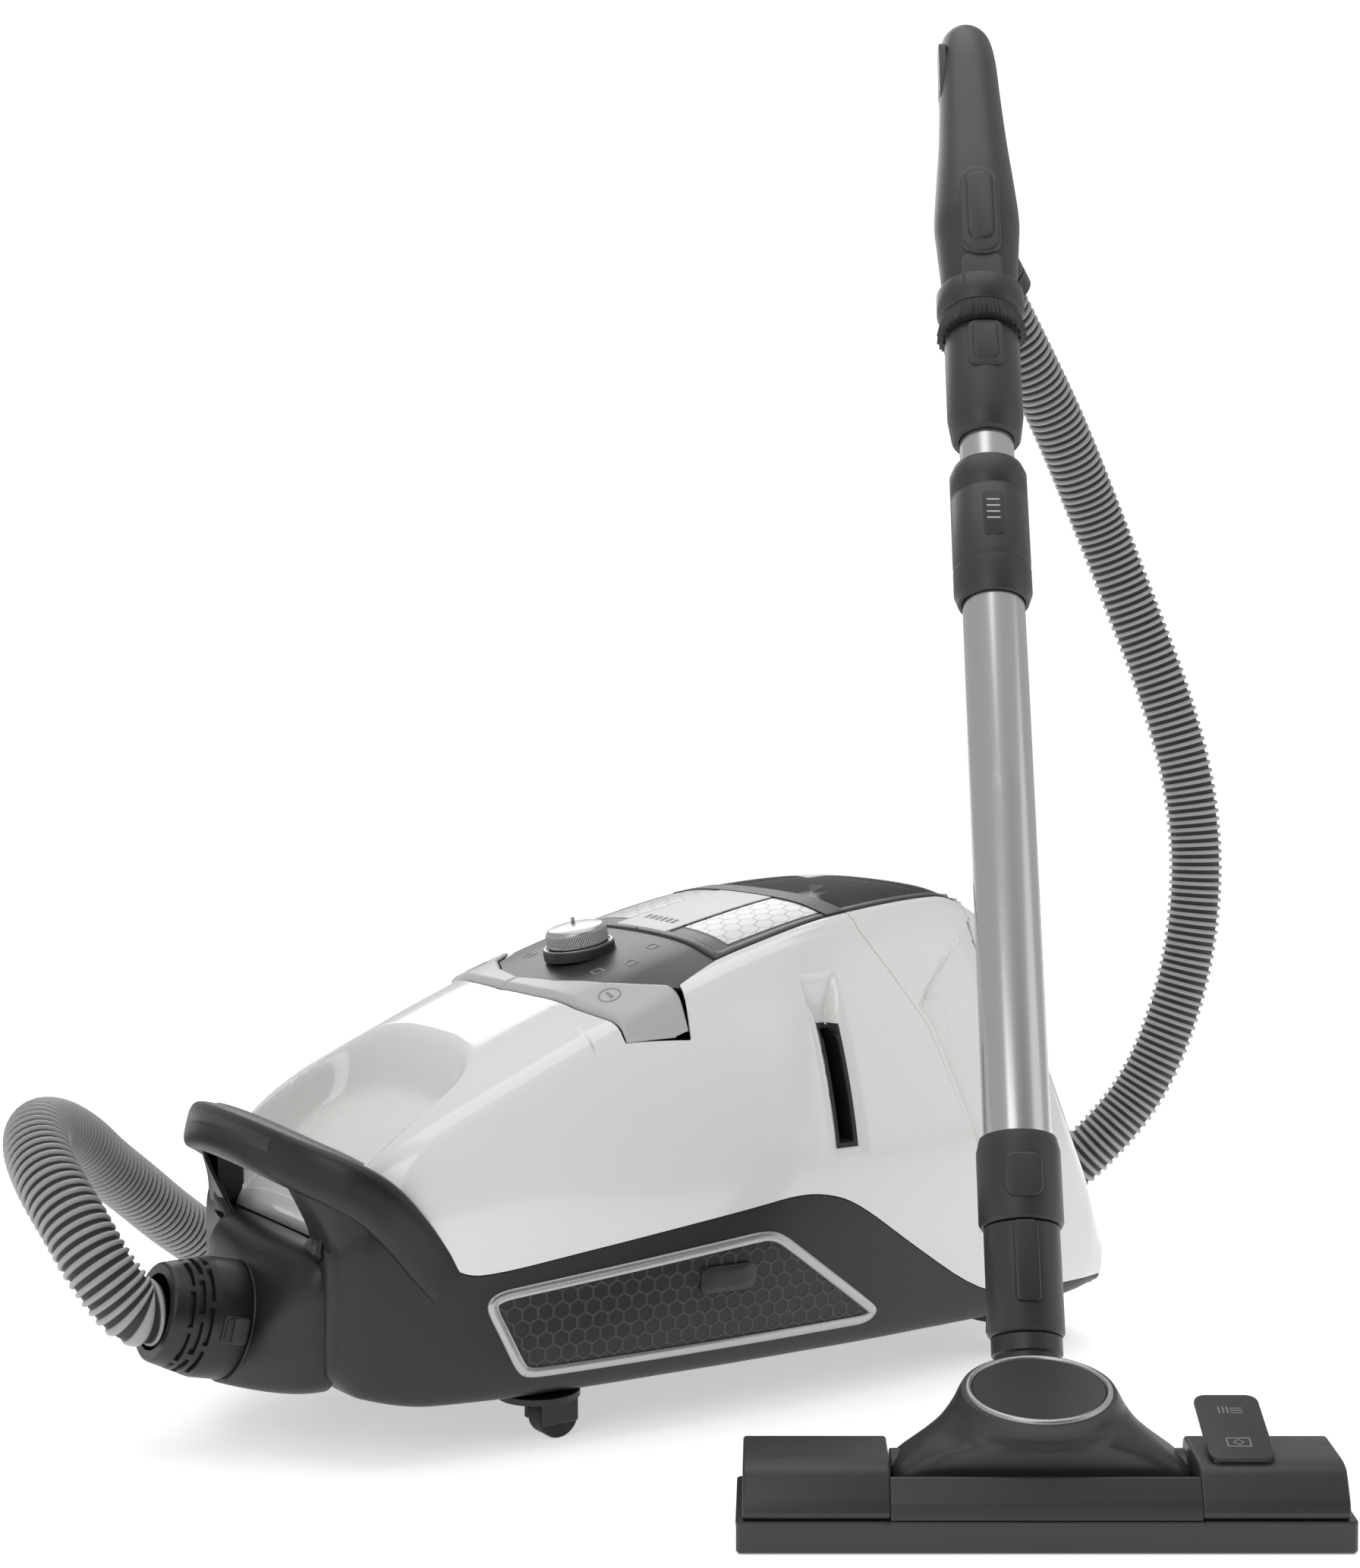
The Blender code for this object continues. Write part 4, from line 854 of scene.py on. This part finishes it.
def slotShape(angle, height):
    opening = np.zeros_like(height)
    for order, middle in enumerate(cuff["rings"]):
        along = np.cos(cuff["slots"] / 2 * (angle + order * 0.25)) ** 2 > 0.08
        opening += (np.abs(height - middle) < cuff["ringWidth"] / 2) * along
    return -cuff["depth"] * opening * (height > 34) * (height < 52)


turned("hoseCuff", "hose_cuff", blackAbs, cuffFrame, profile, 240, closed=True, shaping=slotShape,
       nodes=("hose_cuff",))
for sideName, sign in (("left", -1), ("right", 1)):
    latchFrame = aimed(cuffFrame, (sign * 29.5, 0, 24.3), (sign, 0, 0), (0, 0, 1))
    slab(f"cuffLatch_{sideName}", f"cuff_latch_{sideName}", panelAbs, latchFrame, roundedRect(15, 15, 2.5), 0,
         4.6, 1.0, nodes=(f"cuff_latch_{sideName}",))
    slab(f"cuffLatchThumb_{sideName}", f"cuff_latch_{sideName}", blackAbs, latchFrame,
         roundedRect(4.5, 14, 1.8), 3.6, 6.0, 0.9, shift=(4.4, 0))
print("cuff made")

# side grilles: a silver frame bent to the flank round a honeycomb panel with a blank badge
grille = {"outline": [(72, 85), (79, 92), (237, 108), (248, 106), (320, 51), (313, 43), (98, 42), (91, 46)],
          "band": 6.0, "sample": 0.7, "cell": 9.0, "depth": 2.6, "badge": (34, 15, 5), "badgeAt": (214, 84)}
outer = rounded(grille["outline"], 9, 7)
dense = []
for p, q in zip(outer, np.roll(outer, -1, 0)):
    count = max(2, int(np.linalg.norm(q - p) / 4))
    dense += [p + (q - p) * k / count for k in range(count)]
outer = np.array(dense)


def onFlank(points, out, sign):
    # points of the x,z plane laid on the flank and lifted out by some millimetres
    x, z = points[..., 0], points[..., 1]
    return np.stack([x, sign * (sideWidth(x, z) + out), z], -1)


def crossings(outline, x):
    # heights at which a closed outline crosses x
    after = np.roll(outline, -1, 0)
    hit = (outline[:, 0] - x) * (after[:, 0] - x) <= 0
    p, q = outline[hit], after[hit]
    return p[:, 1] + (q[:, 1] - p[:, 1]) * (x - p[:, 0]) / np.where(np.abs(q[:, 0] - p[:, 0]) < 1e-9, 1e-9,
                                                                    q[:, 0] - p[:, 0])


for sideName, sign in (("left", -1), ("right", 1)):
    bands = [(0, -1.5), (0, 0.7), (0.7, 1.5), (grille["band"] - 1.8, 1.7), (grille["band"] - 0.4, 0.9),
             (grille["band"], -1.5)]
    grid = np.stack([onFlank(inset(outer, amount), out, sign) for amount, out in bands])
    surface(f"grilleFrame_{sideName}", "canister", silverPaint, placed(canisterFrame, grid), ring=True, loop=True,
            nodes=(f"grille_frame_{sideName}",), smooth=50)
    inner = inset(outer, grille["band"] - 0.5)
    x = np.arange(inner[:, 0].min() + 0.2, inner[:, 0].max() - 0.2, grille["sample"])
    ceiling = np.array([max(crossings(inner, value)) for value in x])
    ground = np.array([min(crossings(inner, value)) for value in x])
    w = np.linspace(0, 1, int(60 / grille["sample"]))
    z = ground[:, None] + (ceiling - ground)[:, None] * w
    flat = np.stack([np.repeat(x[:, None], len(w), 1), z], -1)
    cells = hexRelief(flat[..., 0] + places["canisterAt"][0], z, grille["cell"], 0.09)
    panel = onFlank(flat, 0.2 - grille["depth"] * cells, sign)
    surface(f"grillePanel_{sideName}", "canister", sideHoneycomb, placed(canisterFrame, panel),
            nodes=(f"exhaust_grille_{sideName}",), inside=canisterCore, wall=1.0, smooth=50)
    badge = roundedRect(*grille["badge"])
    fan = np.stack([onFlank(badge * s + grille["badgeAt"], out, sign)
                    for s, out in ((1, 0.4), (1, 2.2), (0.94, 2.6), (0.5, 2.7), (0.001, 2.7))])
    surface(f"badge_{sideName}", "canister", panelAbs, placed(canisterFrame, fan), ring=True,
            inside=canisterCore, smooth=50)
print("grilles made")

# foot pedals, control panel and knob on the crown
pedals = {"front": ([0, 34, 70, 106, 111], [146.4, 148.4, 154.4, 166.4, 205.2]),
          "rear": ([0, 34, 64, 93, 111], [160, 166, 180, 204, 205.6]), "raise": 3.2}
y = np.r_[np.linspace(0.3, 1.2, 4), np.linspace(2, 99, 60), np.linspace(100, 109.8, 16)]
front, rear = np.interp(y, *pedals["front"]) + 0.8, np.interp(y, *pedals["rear"]) - 0.3
w = np.linspace(0, 1, 24)
x = front[:, None] + (rear - front)[:, None] * w
rise = np.minimum(1, np.minimum(np.minimum(w, 1.02 - w)[None] * (rear - front)[:, None] / 4.5,
                                (110.3 - y)[:, None] / 5))
rise = np.minimum(rise, (y[:, None] + 0.4) / 2.2)
rise = np.clip(rise, 0, 1)
crown = topHeight(x, y[:, None]) + pedals["raise"] * (1 - (1 - rise) ** 2) - 0.6
for name, node, sign in (("powerPedal", "power_pedal", -1), ("rewindPedal", "rewind_pedal", 1)):
    grid = np.stack([x, np.repeat(sign * y[:, None], 24, 1), crown], -1)
    surface(name, node, lightAbs, placed(canisterFrame, grid), nodes=(node,), wall=1.6, inside=canisterCore,
            smooth=50)
ySigned = np.linspace(-96, 96, 97)
start = np.interp(np.abs(ySigned), [0, 34, 64, 93, 96], [160.8, 166.8, 180.8, 204.6, 208]) 
stop = np.interp(np.abs(ySigned), [0, 87.3, 94, 96], [238, 238, 211, 209.5])
x = start[:, None] + (stop - start)[:, None] * np.linspace(0, 1, 40)
grid = np.stack([x, np.repeat(ySigned[:, None], 40, 1), topHeight(x, ySigned[:, None]) - 0.8], -1)
surface("controlPanel", "canister", panelAbs, placed(canisterFrame, grid), nodes=("control_panel",), wall=2.5,
        edge=0.4, inside=canisterCore)
knobFrame = aimed(canisterFrame, (199, 0, 258.5), (-math.sin(math.radians(11)), 0, math.cos(math.radians(11))))
turned("knobSeat", "canister", panelAbs, knobFrame, [(21.5, -6), (21.5, -0.6), (20.9, 0), (0.01, 0)], 96)
turned("knobRing", "canister", silverPaint, knobFrame, [(20.6, -0.1), (20.6, 0.5), (19.4, 0.5), (19.4, -0.1)],
       96, closed=True)


def knurl(angle, height):
    # two families of fine helical ridges cross into diamonds on the side
    side = (height > 1.4) * (height < 8.6)
    return side * 0.32 * (np.cos(72 * angle + height * 2.6) + np.cos(72 * angle - height * 2.6))


profile = [(17.4, 0.4), (18.0, 0.9)] + [(18.0, z) for z in np.linspace(1.4, 8.6, 19)]
profile += [(17.9, 9.2), (17.0, 10.6), (15.5, 11.3), (8, 11.6), (0.01, 11.7)]
turned("speedKnob", "speed_knob", silverPaint, knobFrame, [(0.01, 0.4)] + profile, 432, shaping=knurl,
       nodes=("speed_knob",), smooth=60)
slab("knobPointer", "speed_knob", silverPaint, knobFrame, roundedRect(2.4, 2.4, 1.1), 11.2, 15.0, 0.9,
     shift=(4, 9))
# marks on the pedals and the panel: a barred ring on each pedal and four small outlines, slightly raised
marks = {"line": 0.9, "rise": 0.25}


def crownMark(name, body, middle, outline, lift):
    # a closed line of the crown: outline is its outer edge, about middle
    outer = np.array(outline, float)
    inner = inset(outer, marks["line"])
    bands = ((outer, 0), (outer, 1), (inner, 1), (inner, 0))
    rows = [np.column_stack([p[:, 0] + middle[0], p[:, 1] + middle[1],
                             topHeight(p[:, 0] + middle[0], p[:, 1] + middle[1])
                             + lift - 0.15 + (marks["rise"] + 0.15) * up]) for p, up in bands]
    return surface(name, body, markPaint, placed(canisterFrame, np.array(rows)), ring=True, loop=True, smooth=20)


circle = np.stack([np.cos(a), np.sin(a)], 1)
for name, body, sign in (("powerMark", "power_pedal", -1), ("rewindMark", "rewind_pedal", 1)):
    crownMark(f"{name}_ring", body, (173, sign * 78), circle * 6.6, pedals["raise"] - 0.6)
    crownMark(f"{name}_bar", body, (173, sign * 78), roundedRect(1.9, 7.0, 0.9, 4), pedals["raise"] - 0.6)
for k, (x, y) in enumerate(((187, -42), (205, -50), (226, -40), (190, 42))):
    crownMark(f"panelMark_{k + 1}", "canister", (x, y), roundedRect(6.5, 8.0, 1.0), -0.8)
print("controls made")

# container lid: dark rim and bar, honeycomb panels in front, clear window behind with steel rods
lid = {"front": (254, 320), "spine": 28, "bar": (320, 334), "window": (334, 418), "slots": 6}


def lidEdge(x):
    return np.interp(x, [238.4, 330, 424], [87.3, 84, 76])


def lidPatch(name, body, material, xEnds, insetMm, out, **options):
    x = np.linspace(*xEnds, 60)
    s = np.linspace(-1, 1, 60)
    y = (lidEdge(x) - insetMm)[:, None] * s
    return surface(name, body, material,
                   placed(canisterFrame, np.stack([np.repeat(x[:, None], 60, 1), y,
                                                   topHeight(x[:, None], y) + out], -1)),
                   inside=canisterCore, **options)


def lidField(name, material, xEnds, y0, y1, out, **options):
    # a four-cornered field of the lid: y at both ends of each side, bent to the crown
    x, w = np.linspace(*xEnds, 50), np.linspace(0, 1, 40)
    low, high = np.linspace(*y0, 50), np.linspace(*y1, 50)
    y = low[:, None] + (high - low)[:, None] * w
    return surface(name, "dust_container", material,
                   placed(canisterFrame, np.stack([np.repeat(x[:, None], 40, 1), y,
                                                   topHeight(x[:, None], y) + out], -1)),
                   inside=canisterCore, **options)


lidField("lidBase", panelAbs, (240, 332), (-85.5, -82.5), (85.5, 82.5), -0.2, wall=1.4)
lidField("honeycombNear", topHoneycomb, lid["front"], (-77, -76), (-31, -30), 0.35, wall=1.0, edge=0.4)
lidField("honeycombFar", topHoneycomb, lid["front"], (31, 30), (77, 76), 0.35, wall=1.0, edge=0.4)
lidField("lidSpine", lightAbs, (242, 320), (-lid["spine"],) * 2, (lid["spine"],) * 2, 0.9, wall=1.4, edge=0.8)
for k in range(lid["slots"]):
    lidField(f"spineSlot_{k + 1}", blackAbs, (254 + 0.4 * k, 260 + 0.4 * k), (-18 + 6.4 * k, -16.5 + 6.4 * k),
             (-14.6 + 6.4 * k, -13.1 + 6.4 * k), 1.0, wall=0.3)
lidPatch("lidBridge", "dust_container", blackAbs, lid["bar"], 0.6, 1.2, wall=3.0, edge=0.8)
lidPatch("lidWindow", "dust_container", clearLid, lid["window"], 5.0, 0.0, wall=1.6, edge=0.4,
         nodes=("container_lid",))
x = np.r_[np.linspace(238.8, 423.4, 60), np.linspace(423.6, 423.6, 40), np.linspace(423.4, 238.8, 60),
          np.linspace(238.8, 238.8, 40)]
y = np.r_[lidEdge(np.linspace(238.8, 423.4, 60)) - 0.4, np.linspace(75.4, -75.4, 40),
          -(lidEdge(np.linspace(423.4, 238.8, 60)) - 0.4), np.linspace(-86.6, 86.6, 40)]
outline = np.stack([x, y], 1)
keepRows = np.r_[True, np.linalg.norm(np.diff(outline, axis=0), axis=1) > 0.3]
outline = outline[keepRows]
centreLid = np.array([331, 0])
bands = [(0, -2), (0, -0.2), (0.6, 0.5), (5.4, 0.6), (6.0, 0.1), (6.2, -2)]
grid = np.stack([np.stack([p[:, 0], p[:, 1], topHeight(p[:, 0], p[:, 1]) + out], 1)
                 for p, out in ((outline - np.sign(outline - centreLid) * amount, out) for amount, out in bands)])
surface("lidRim", "dust_container", panelAbs, placed(canisterFrame, grid), ring=True, loop=True, smooth=50)
seat = np.column_stack([331 + (outline[:, 0] - 331) * 0.972, np.clip(outline[:, 1] * 0.87, -73.2, 73.2)])
tray = [np.column_stack([outline, topHeight(outline[:, 0], outline[:, 1]) - 1.9])]
tray += [np.column_stack([seat, np.full(len(seat), height)]) for height in (238.0, 231.0)]
surface("lidTray", "dust_container", panelAbs, placed(canisterFrame, np.array(tray)), ring=True, wall=1.0,
        smooth=40, inside=tuple(placed(canisterFrame, (331, 0, 230))))
for k, (start, stop) in enumerate([((338, -60, 262), (414, 40, 262)), ((352, 66, 263), (406, -58, 264)),
                                   ((392, -66, 266), (392, 66, 266))]):
    rod = aimed(canisterFrame, start, np.array(stop) - np.array(start), (0, 0, 1))
    length = float(np.linalg.norm(np.array(stop) - np.array(start)))
    turned(f"windowRod_{k + 1}", "dust_container", chrome, rod,
           [(0.01, 0), (1.3, 0.2), (1.6, 0.8), (1.6, length - 0.8), (1.3, length - 0.2), (0.01, length)], 24)
print("lid made")

# wand: steel tubes, connectors and the telescope sleeve, along the wand frame's z
wandParts = {
    "lowerTube": ("canister", steel, [(17.3, 160), (18.5, 160), (18.5, 560), (17.3, 560)], "lower_tube"),
    "upperTube": ("handle", steel, [(15.6, 230), (16.6, 230), (16.6, 700), (15.6, 700)], "upper_tube"),
    "lowerConnector": ("canister", greyAbs, [(19, 142.2), (21.4, 142.2), (22.6, 144.5), (22.6, 183),
                                             (20.8, 190.6), (19, 190.6)], "lower_connector"),
    "telescopeSleeve": ("telescope_sleeve", greyAbs, [(19, 519), (21, 519), (23.4, 526), (23.4, 541),
                                                      (22.6, 542), (22.6, 543.5), (23.4, 544.5),
                                                      (23.4, 590), (22.7, 591), (22.7, 592.5), (23.4, 593.5),
                                                      (23.4, 607), (21, 613), (19, 613)], "telescope_sleeve"),
    "upperConnector": ("handle", greyAbs, [(17, 633), (20, 633), (21.2, 634.5), (23.4, 650), (23.4, 704),
                                           (21.8, 709.6), (17, 709.6)], "upper_connector"),
    "brushCollar": ("handle", greyAbs, [(23.8, 724), (25.4, 724), (27.5, 728), (27.5, 741.5), (26.6, 743),
                                        (23.8, 743)], "dusting_brush_collar"),
    "neckCollar": ("canister", greyAbs, [(12, 84), (18.8, 84), (20.2, 86), (20.2, 141.6), (12, 141.6)],
                   "neck_collar"), }
for name, (body, material, profile, node) in wandParts.items():
    turned(name, body, material, wandFrame, profile, 96, closed=True, nodes=(node,), edge=0.35)


def bristleTufts(angle, height):
    # tufts stand apart as waves round the ring, deeper towards their tips
    return (0.9 * np.cos(60 * angle) + 0.5 * np.cos(23 * angle + 1.0)) * (724 - height) / 14


profile = [(23.9, 710.4)] + [(27.2 - 0.14 * k, 710.4 + k) for k in range(14)] + [(23.9, 723.6)]
turned("brushBristles", "handle", bristleNylon, wandFrame, profile, 360, closed=True, shaping=bristleTufts,
       nodes=("dusting_brush_bristles",))
backFrame = aimed(wandFrame, (0, 0, 0), (0, -1, 0), (1, 0, 0))   # x across, y down the wand, z out of its front


def frontSlab(name, body, material, x, s, out, width, height, soften, radius, nodes=()):
    # a rounded plate on the front of the wand at height s, standing from out[0] to out[1] from the axis
    return slab(name, body, material, backFrame, roundedRect(width, height, radius), out[0], out[1], soften,
                shift=(x, s * downSign), nodes=nodes)


downSign = 1.0 if np.dot(backFrame[0][:, 1], wandFrame[0][:, 2]) > 0 else -1.0
frontSlab("neckLatchPlate", "neck_latch", panelAbs, 0, 119.8, (17.8, 23.0), 13, 42.8, 1.2, 3.0, ("neck_latch",))
frontSlab("neckLatchTab", "canister", greyAbs, 0, 165, (20.5, 24.6), 20, 24, 1.5, 6.0)
frontSlab("wandButton", "wand_release_button", panelAbs, 0, 692.2, (19.0, 25.0), 16, 27.6, 1.4, 4.0,
          ("wand_release_button",))
frontSlab("wandButtonFrame", "handle", greyAbs, 0, 691, (19.0, 24.2), 22, 33, 1.0, 6.0)
frontSlab("sleeveArrowPlate", "telescope_sleeve", panelAbs, 0, 569, (22.4, 23.7), 12, 30, 0.3, 3.0)
for k in range(4):
    frontSlab(f"sleeveRidge_{k + 1}", "telescope_sleeve", lightAbs, 0, 578 - 4.2 * k, (23.0, 24.0), 8, 1.0, 0.3,
              0.4)

# handle: socket, grip and the branch to the hose
gripRings = [(0, 710.6, 22.8, 22.8), (0, 712, 23.3, 23.3), (0, 743, 23.3, 23.3), (0, 756, 24.4, 24.2),
             (0, 780, 26.2, 25.8), (0.5, 800, 27.2, 28),
             (1, 830, 25, 26), (3, 865, 22.2, 22.2), (8, 905, 20.2, 20), (14, 940, 19, 19), (20, 962, 17, 17.2),
             (23.5, 973, 13.6, 13.8), (25.4, 979, 8.5, 8.6), (26, 980.6, 0.02, 0.02)]
rings = curveThrough([(b, z, rx, ry) for b, z, rx, ry in gripRings], 160)
a = np.linspace(0, 2 * math.pi, 96, endpoint=False)
grid = np.stack([np.abs(rings[:, 2:3]) * np.cos(a), rings[:, 0:1] + np.abs(rings[:, 3:4]) * np.sin(a),
                 np.repeat(rings[:, 1:2], 96, 1)], -1)
surface("handleGrip", "handle", greyAbs, placed(wandFrame, grid), ring=True, caps=True, nodes=("handle_body",),
        smooth=50)
endWand, headingWand = (hoseEnd + canisterFrame[1] - wandFrame[1]) @ wandFrame[0], hoseHeading @ wandFrame[0]
branchFace = endWand + headingWand * 0.3
branchRoot = np.array([0, 10, 812.0])
middle = branchFace + headingWand * 34
path = curveThrough([branchFace + headingWand * 11.6, branchFace + headingWand * 20, middle,
                     (middle + branchRoot) / 2 + np.array([0, 3, 2]), branchRoot], 60)
direction, branchSide, branchUp = carried(path, (1, 0, 0))
radius = np.interp(np.linspace(0, 1, 60), [0, 0.02, 0.03, 0.3, 0.34, 1],
                   [23.2, 24.2, 24.4, 24.2, 22.6, 21.0])[:, None, None]
grid = path[:, None] + radius * (np.cos(a)[None, :, None] * branchSide[:, None] + np.sin(a)[None, :, None]
                                 * branchUp[:, None])
surface("handleBranch", "handle", greyAbs, placed(wandFrame, grid), ring=True, caps=True, smooth=50)
swivelFrame = aimed(wandFrame, branchFace + headingWand * 0.2, headingWand, (1, 0, 0))
turned("hoseSwivelRing", "hose_swivel_ring", panelAbs, swivelFrame,
       [(20.6, 0), (23.8, 0), (24.5, 0.8), (24.5, 10.4), (23.9, 11), (20.6, 11)], 96,
       closed=True, nodes=("hose_swivel_ring",))
frontSlab("thumbButton", "handle_release_button", panelAbs, 0, 792, (22.6, 29.0), 18, 55, 2.6, 8.0,
          ("handle_release_button",))
frontSlab("thumbButtonFrame", "handle", greyAbs, 0, 790, (20, 27.8), 25, 68, 2.5, 11.0)
frontSlab("socketTab", "handle", greyAbs, 0, 744, (20, 25.2), 26, 30, 1.4, 8.0)
valveFrame = aimed(wandFrame, (-17.6, 10, 928), (-1, 0.0, 0), (0, 0, 1))
slab("valvePod", "handle", greyAbs, valveFrame, roundedRect(52, 17, 8), -3, 2.2, 1.2)
slab("airSlider", "air_slider", silverPaint, valveFrame, roundedRect(21, 11, 4), 1.2, 3.4, 0.8, shift=(-8, 0),
     nodes=("air_slider",))
print("wand and handle made")

# floorhead: cover blocks either side of the bell, flared bell with its ringed disc, rocker pedal
# x back, y up, z across
acrossHead = (headFrame[0] @ np.array([[0, 0, 1], [1, 0, 0], [0, 1, 0]], float), headFrame[1])
coverProfile = rounded([(0.6, 16), (2.5, 24), (12, 38), (20, 40), (58, 40), (62.5, 37), (66, 16)], 4.0, 6)
slab("coverLeft", "floorhead", greyAbs, acrossHead, coverProfile, -146, -74.6, 1.6, nodes=("head_cover",),
     smooth=50)
slab("coverRight", "floorhead", greyAbs, acrossHead, coverProfile, 74.6, 146, 1.6, smooth=50)
slab("coverFront", "floorhead", greyAbs, acrossHead, rounded([(0.6, 16), (2.5, 24), (9.6, 34.6), (11, 34.6),
                                                              (8.2, 27), (8.2, 16)], 1.0, 4), -74.8, 74.8, 0.2,
     smooth=50)
slab("coverRear", "floorhead", greyAbs, acrossHead, rounded([(62.4, 13.8), (62.4, 19.4), (65.4, 19.4),
                                                             (66.6, 13.8)], 0.8, 4), -74.8, 74.8, 0.2, smooth=50)
for name, size, shift in (("left", (74, 68.4), (-112.3, 34)), ("right", (74, 68.4), (112.3, 34)),
                          ("front", (152, 10.4), (0, 5.0))):
    slab(f"soleTrim_{name}", "floorhead", panelAbs, headFrame, roundedRect(size[0], size[1], 3), 13.6, 15.9,
         0.6, shift=shift)
flare = np.array([(73.4, 18, 60, 27, 0.30), (73.0, 17.5, 61, 31, 0.30), (69, 17, 62, 36, 0.36),
                  (60, 15.5, 64, 43, 0.5), (50, 12, 70, 51, 0.8), (43.5, 6, 76, 59, 0.97),
                  (40.2, 2.6, 79, 65, 1.0), (38.4, 2.0, 78.6, 68.0, 1.0)])
rows = curveThrough(flare[:, [3, 0, 1, 2, 4]], 60)
a = np.linspace(0, 2 * math.pi, 128, endpoint=False)
c, s = np.cos(a), np.sin(a)
level, halfW, frontY, rearY, power = [rows[:, k:k + 1] for k in range(5)]
power = np.clip(power, 0.25, 1)
bx = halfW * np.sign(c) * np.abs(c) ** power
by = (frontY + rearY) / 2 + (rearY - frontY) / 2 * np.sign(s) * np.abs(s) ** power
tiltUp = np.clip((level - 45) / 15, 0, 1)
grid = np.stack([bx, by, level + tiltUp * (by - 40.5) * 0.17 + 0 * bx], -1)
surface("bellFlare", "floorhead_neck", greyAbs, placed(headFrame, grid), ring=True, caps=True,
        nodes=("bell_housing",), smooth=50)
discNormal = np.array([0, -math.sin(math.atan(0.17)), math.cos(math.atan(0.17))])
discFrame = aimed(headFrame, (0, 40.3, 68.2), discNormal)
turned("discPlate", "floorhead_neck", greyAbs, discFrame,
       [(33.2, -2), (33.2, 0.2), (32.6, 0.8), (30, 0.5), (16, 0.1), (0.01, 0.0)], 128, smooth=50)
turned("discRing", "floorhead_neck", silverPaint, discFrame,
       [(33.3, -0.6), (33.5, 1.0), (34.2, 1.6), (35.4, 1.6), (36.2, 0.9), (36.4, -0.6)], 128,
       closed=True, nodes=("disc_ring",), smooth=50)
elbowFrame = aimed(headFrame, (0, 60.2, 3.3), (0, math.sin(math.radians(28.55)), math.cos(math.radians(28.55))))
turned("elbow", "floorhead_neck", greyAbs, elbowFrame,
       [(0.01, 40), (17.5, 40), (17.5, 74), (18.6, 75), (18.6, 83.2), (17.8, 83.8), (0.01, 83.8)], 96, smooth=40)
drumFrame = aimed(headFrame, (-73.4, 46, 22), (1, 0, 0), (0, 0, 1))
turned("bellDrum", "floorhead_neck", panelAbs, drumFrame,
       [(0.01, 0), (14.2, 0), (14.6, 0.5), (14.6, 146.3), (14.2, 146.8), (0.01, 146.8)], 64)
rockerProfile = rounded([(16, 38.6), (16, 41.0), (40, 47.6), (67, 56.2), (68, 53.4), (41, 40), (38, 34.8),
                         (33, 34.8), (30, 38.6)], 1.6, 5)
slab("rockerPedal", "rocker_pedal", panelAbs, acrossHead, rockerProfile, 82.2, 110.8, 0.9,
     nodes=("rocker_pedal",), smooth=50)
rockerTop = aimed(headFrame, (96.5, 41.6, 49.3), (0, -0.29, 0.957))
slab("rockerPlate", "rocker_pedal", panelAbs, rockerTop, roundedRect(32.4, 55, 6), -2.6, 0.5, 0.9, smooth=50)
rug = [((x, 13.5), (0.7, 6.0)) for x in (-5.2, -3.1, -1.0)] + [((3.4, 10.9 + 2 * k), (6.6, 0.7))
                                                               for k in range(3)]
for k, (shift, size) in enumerate(rug):
    slab(f"rugMark_{k + 1}", "rocker_pedal", markPaint, rockerTop, roundedRect(size[0], size[1], 0.3), 0.3,
         0.75, 0.1, shift=shift)
for name, outline in (("floorMark_frame", roundedRect(12, 7.4, 0.6)),
                      ("floorMark_tile", np.array([(3, 0), (0, 2.4), (-3, 0), (0, -2.4)], float))):
    inner = inset(outline, 0.7) if len(outline) > 4 else outline * 0.72
    rows = np.array([np.column_stack([o + (0, -14), np.full(len(o), h)]) for o,
                     h in ((outline, 0.3), (outline, 0.75), (inner, 0.75), (inner, 0.3))])
    surface(name, "rocker_pedal", markPaint, placed(rockerTop, rows), ring=True, loop=True, smooth=20)
print("floorhead made")

# rear bumper and park slot guide
slab("rearBumper", "canister", rubber, (canisterFrame[0] @ np.array([[0, 0, 1], [1, 0, 0], [0, 1, 0]], float),
                                        canisterFrame[1]),
     roundedRect(224, 11, 4) + np.array([0, 38.5]), 502.8, 510.5, 2.2, nodes=("rear_bumper",))
x, z = np.meshgrid(np.linspace(288.6, 303.4, 75), np.linspace(148.2, 216.6, 210), indexing="ij")
liner = np.stack([x, -(sideWidth(x, z) - slotDepth(x, z) + 0.5), z], -1)
surface("parkSlot", "canister", blackAbs, placed(canisterFrame, liner), nodes=("park_slot_guide",),
        inside=canisterCore, smooth=50)

# the small or hidden parts keep their own shape with a finish of what they are made of
kept = {"sole_frame": greyAbs, "brush_strip_front": bristleNylon, "brush_strip_rear": bristleNylon,
        "blower_motor": motorMetal,
        "blower_fan": lightAbs, "cord_reel": panelAbs, "exhaust_filter": fleece, "cyclone_cone": smoked,
        "vortex_finder": lightAbs, "dust_container": smoked, "cord_inlet_grommet": rubber}
for place in ("front_left", "front_right", "rear_left", "rear_right"):
    kept["caster_fork_" + place] = blackAbs
    kept["caster_wheel_" + place] = rubber
for node, material in kept.items():
    piece = frame["nodes"][node]
    piece.data.materials.clear()
    piece.data.materials.append(material)
print("kept parts finished")
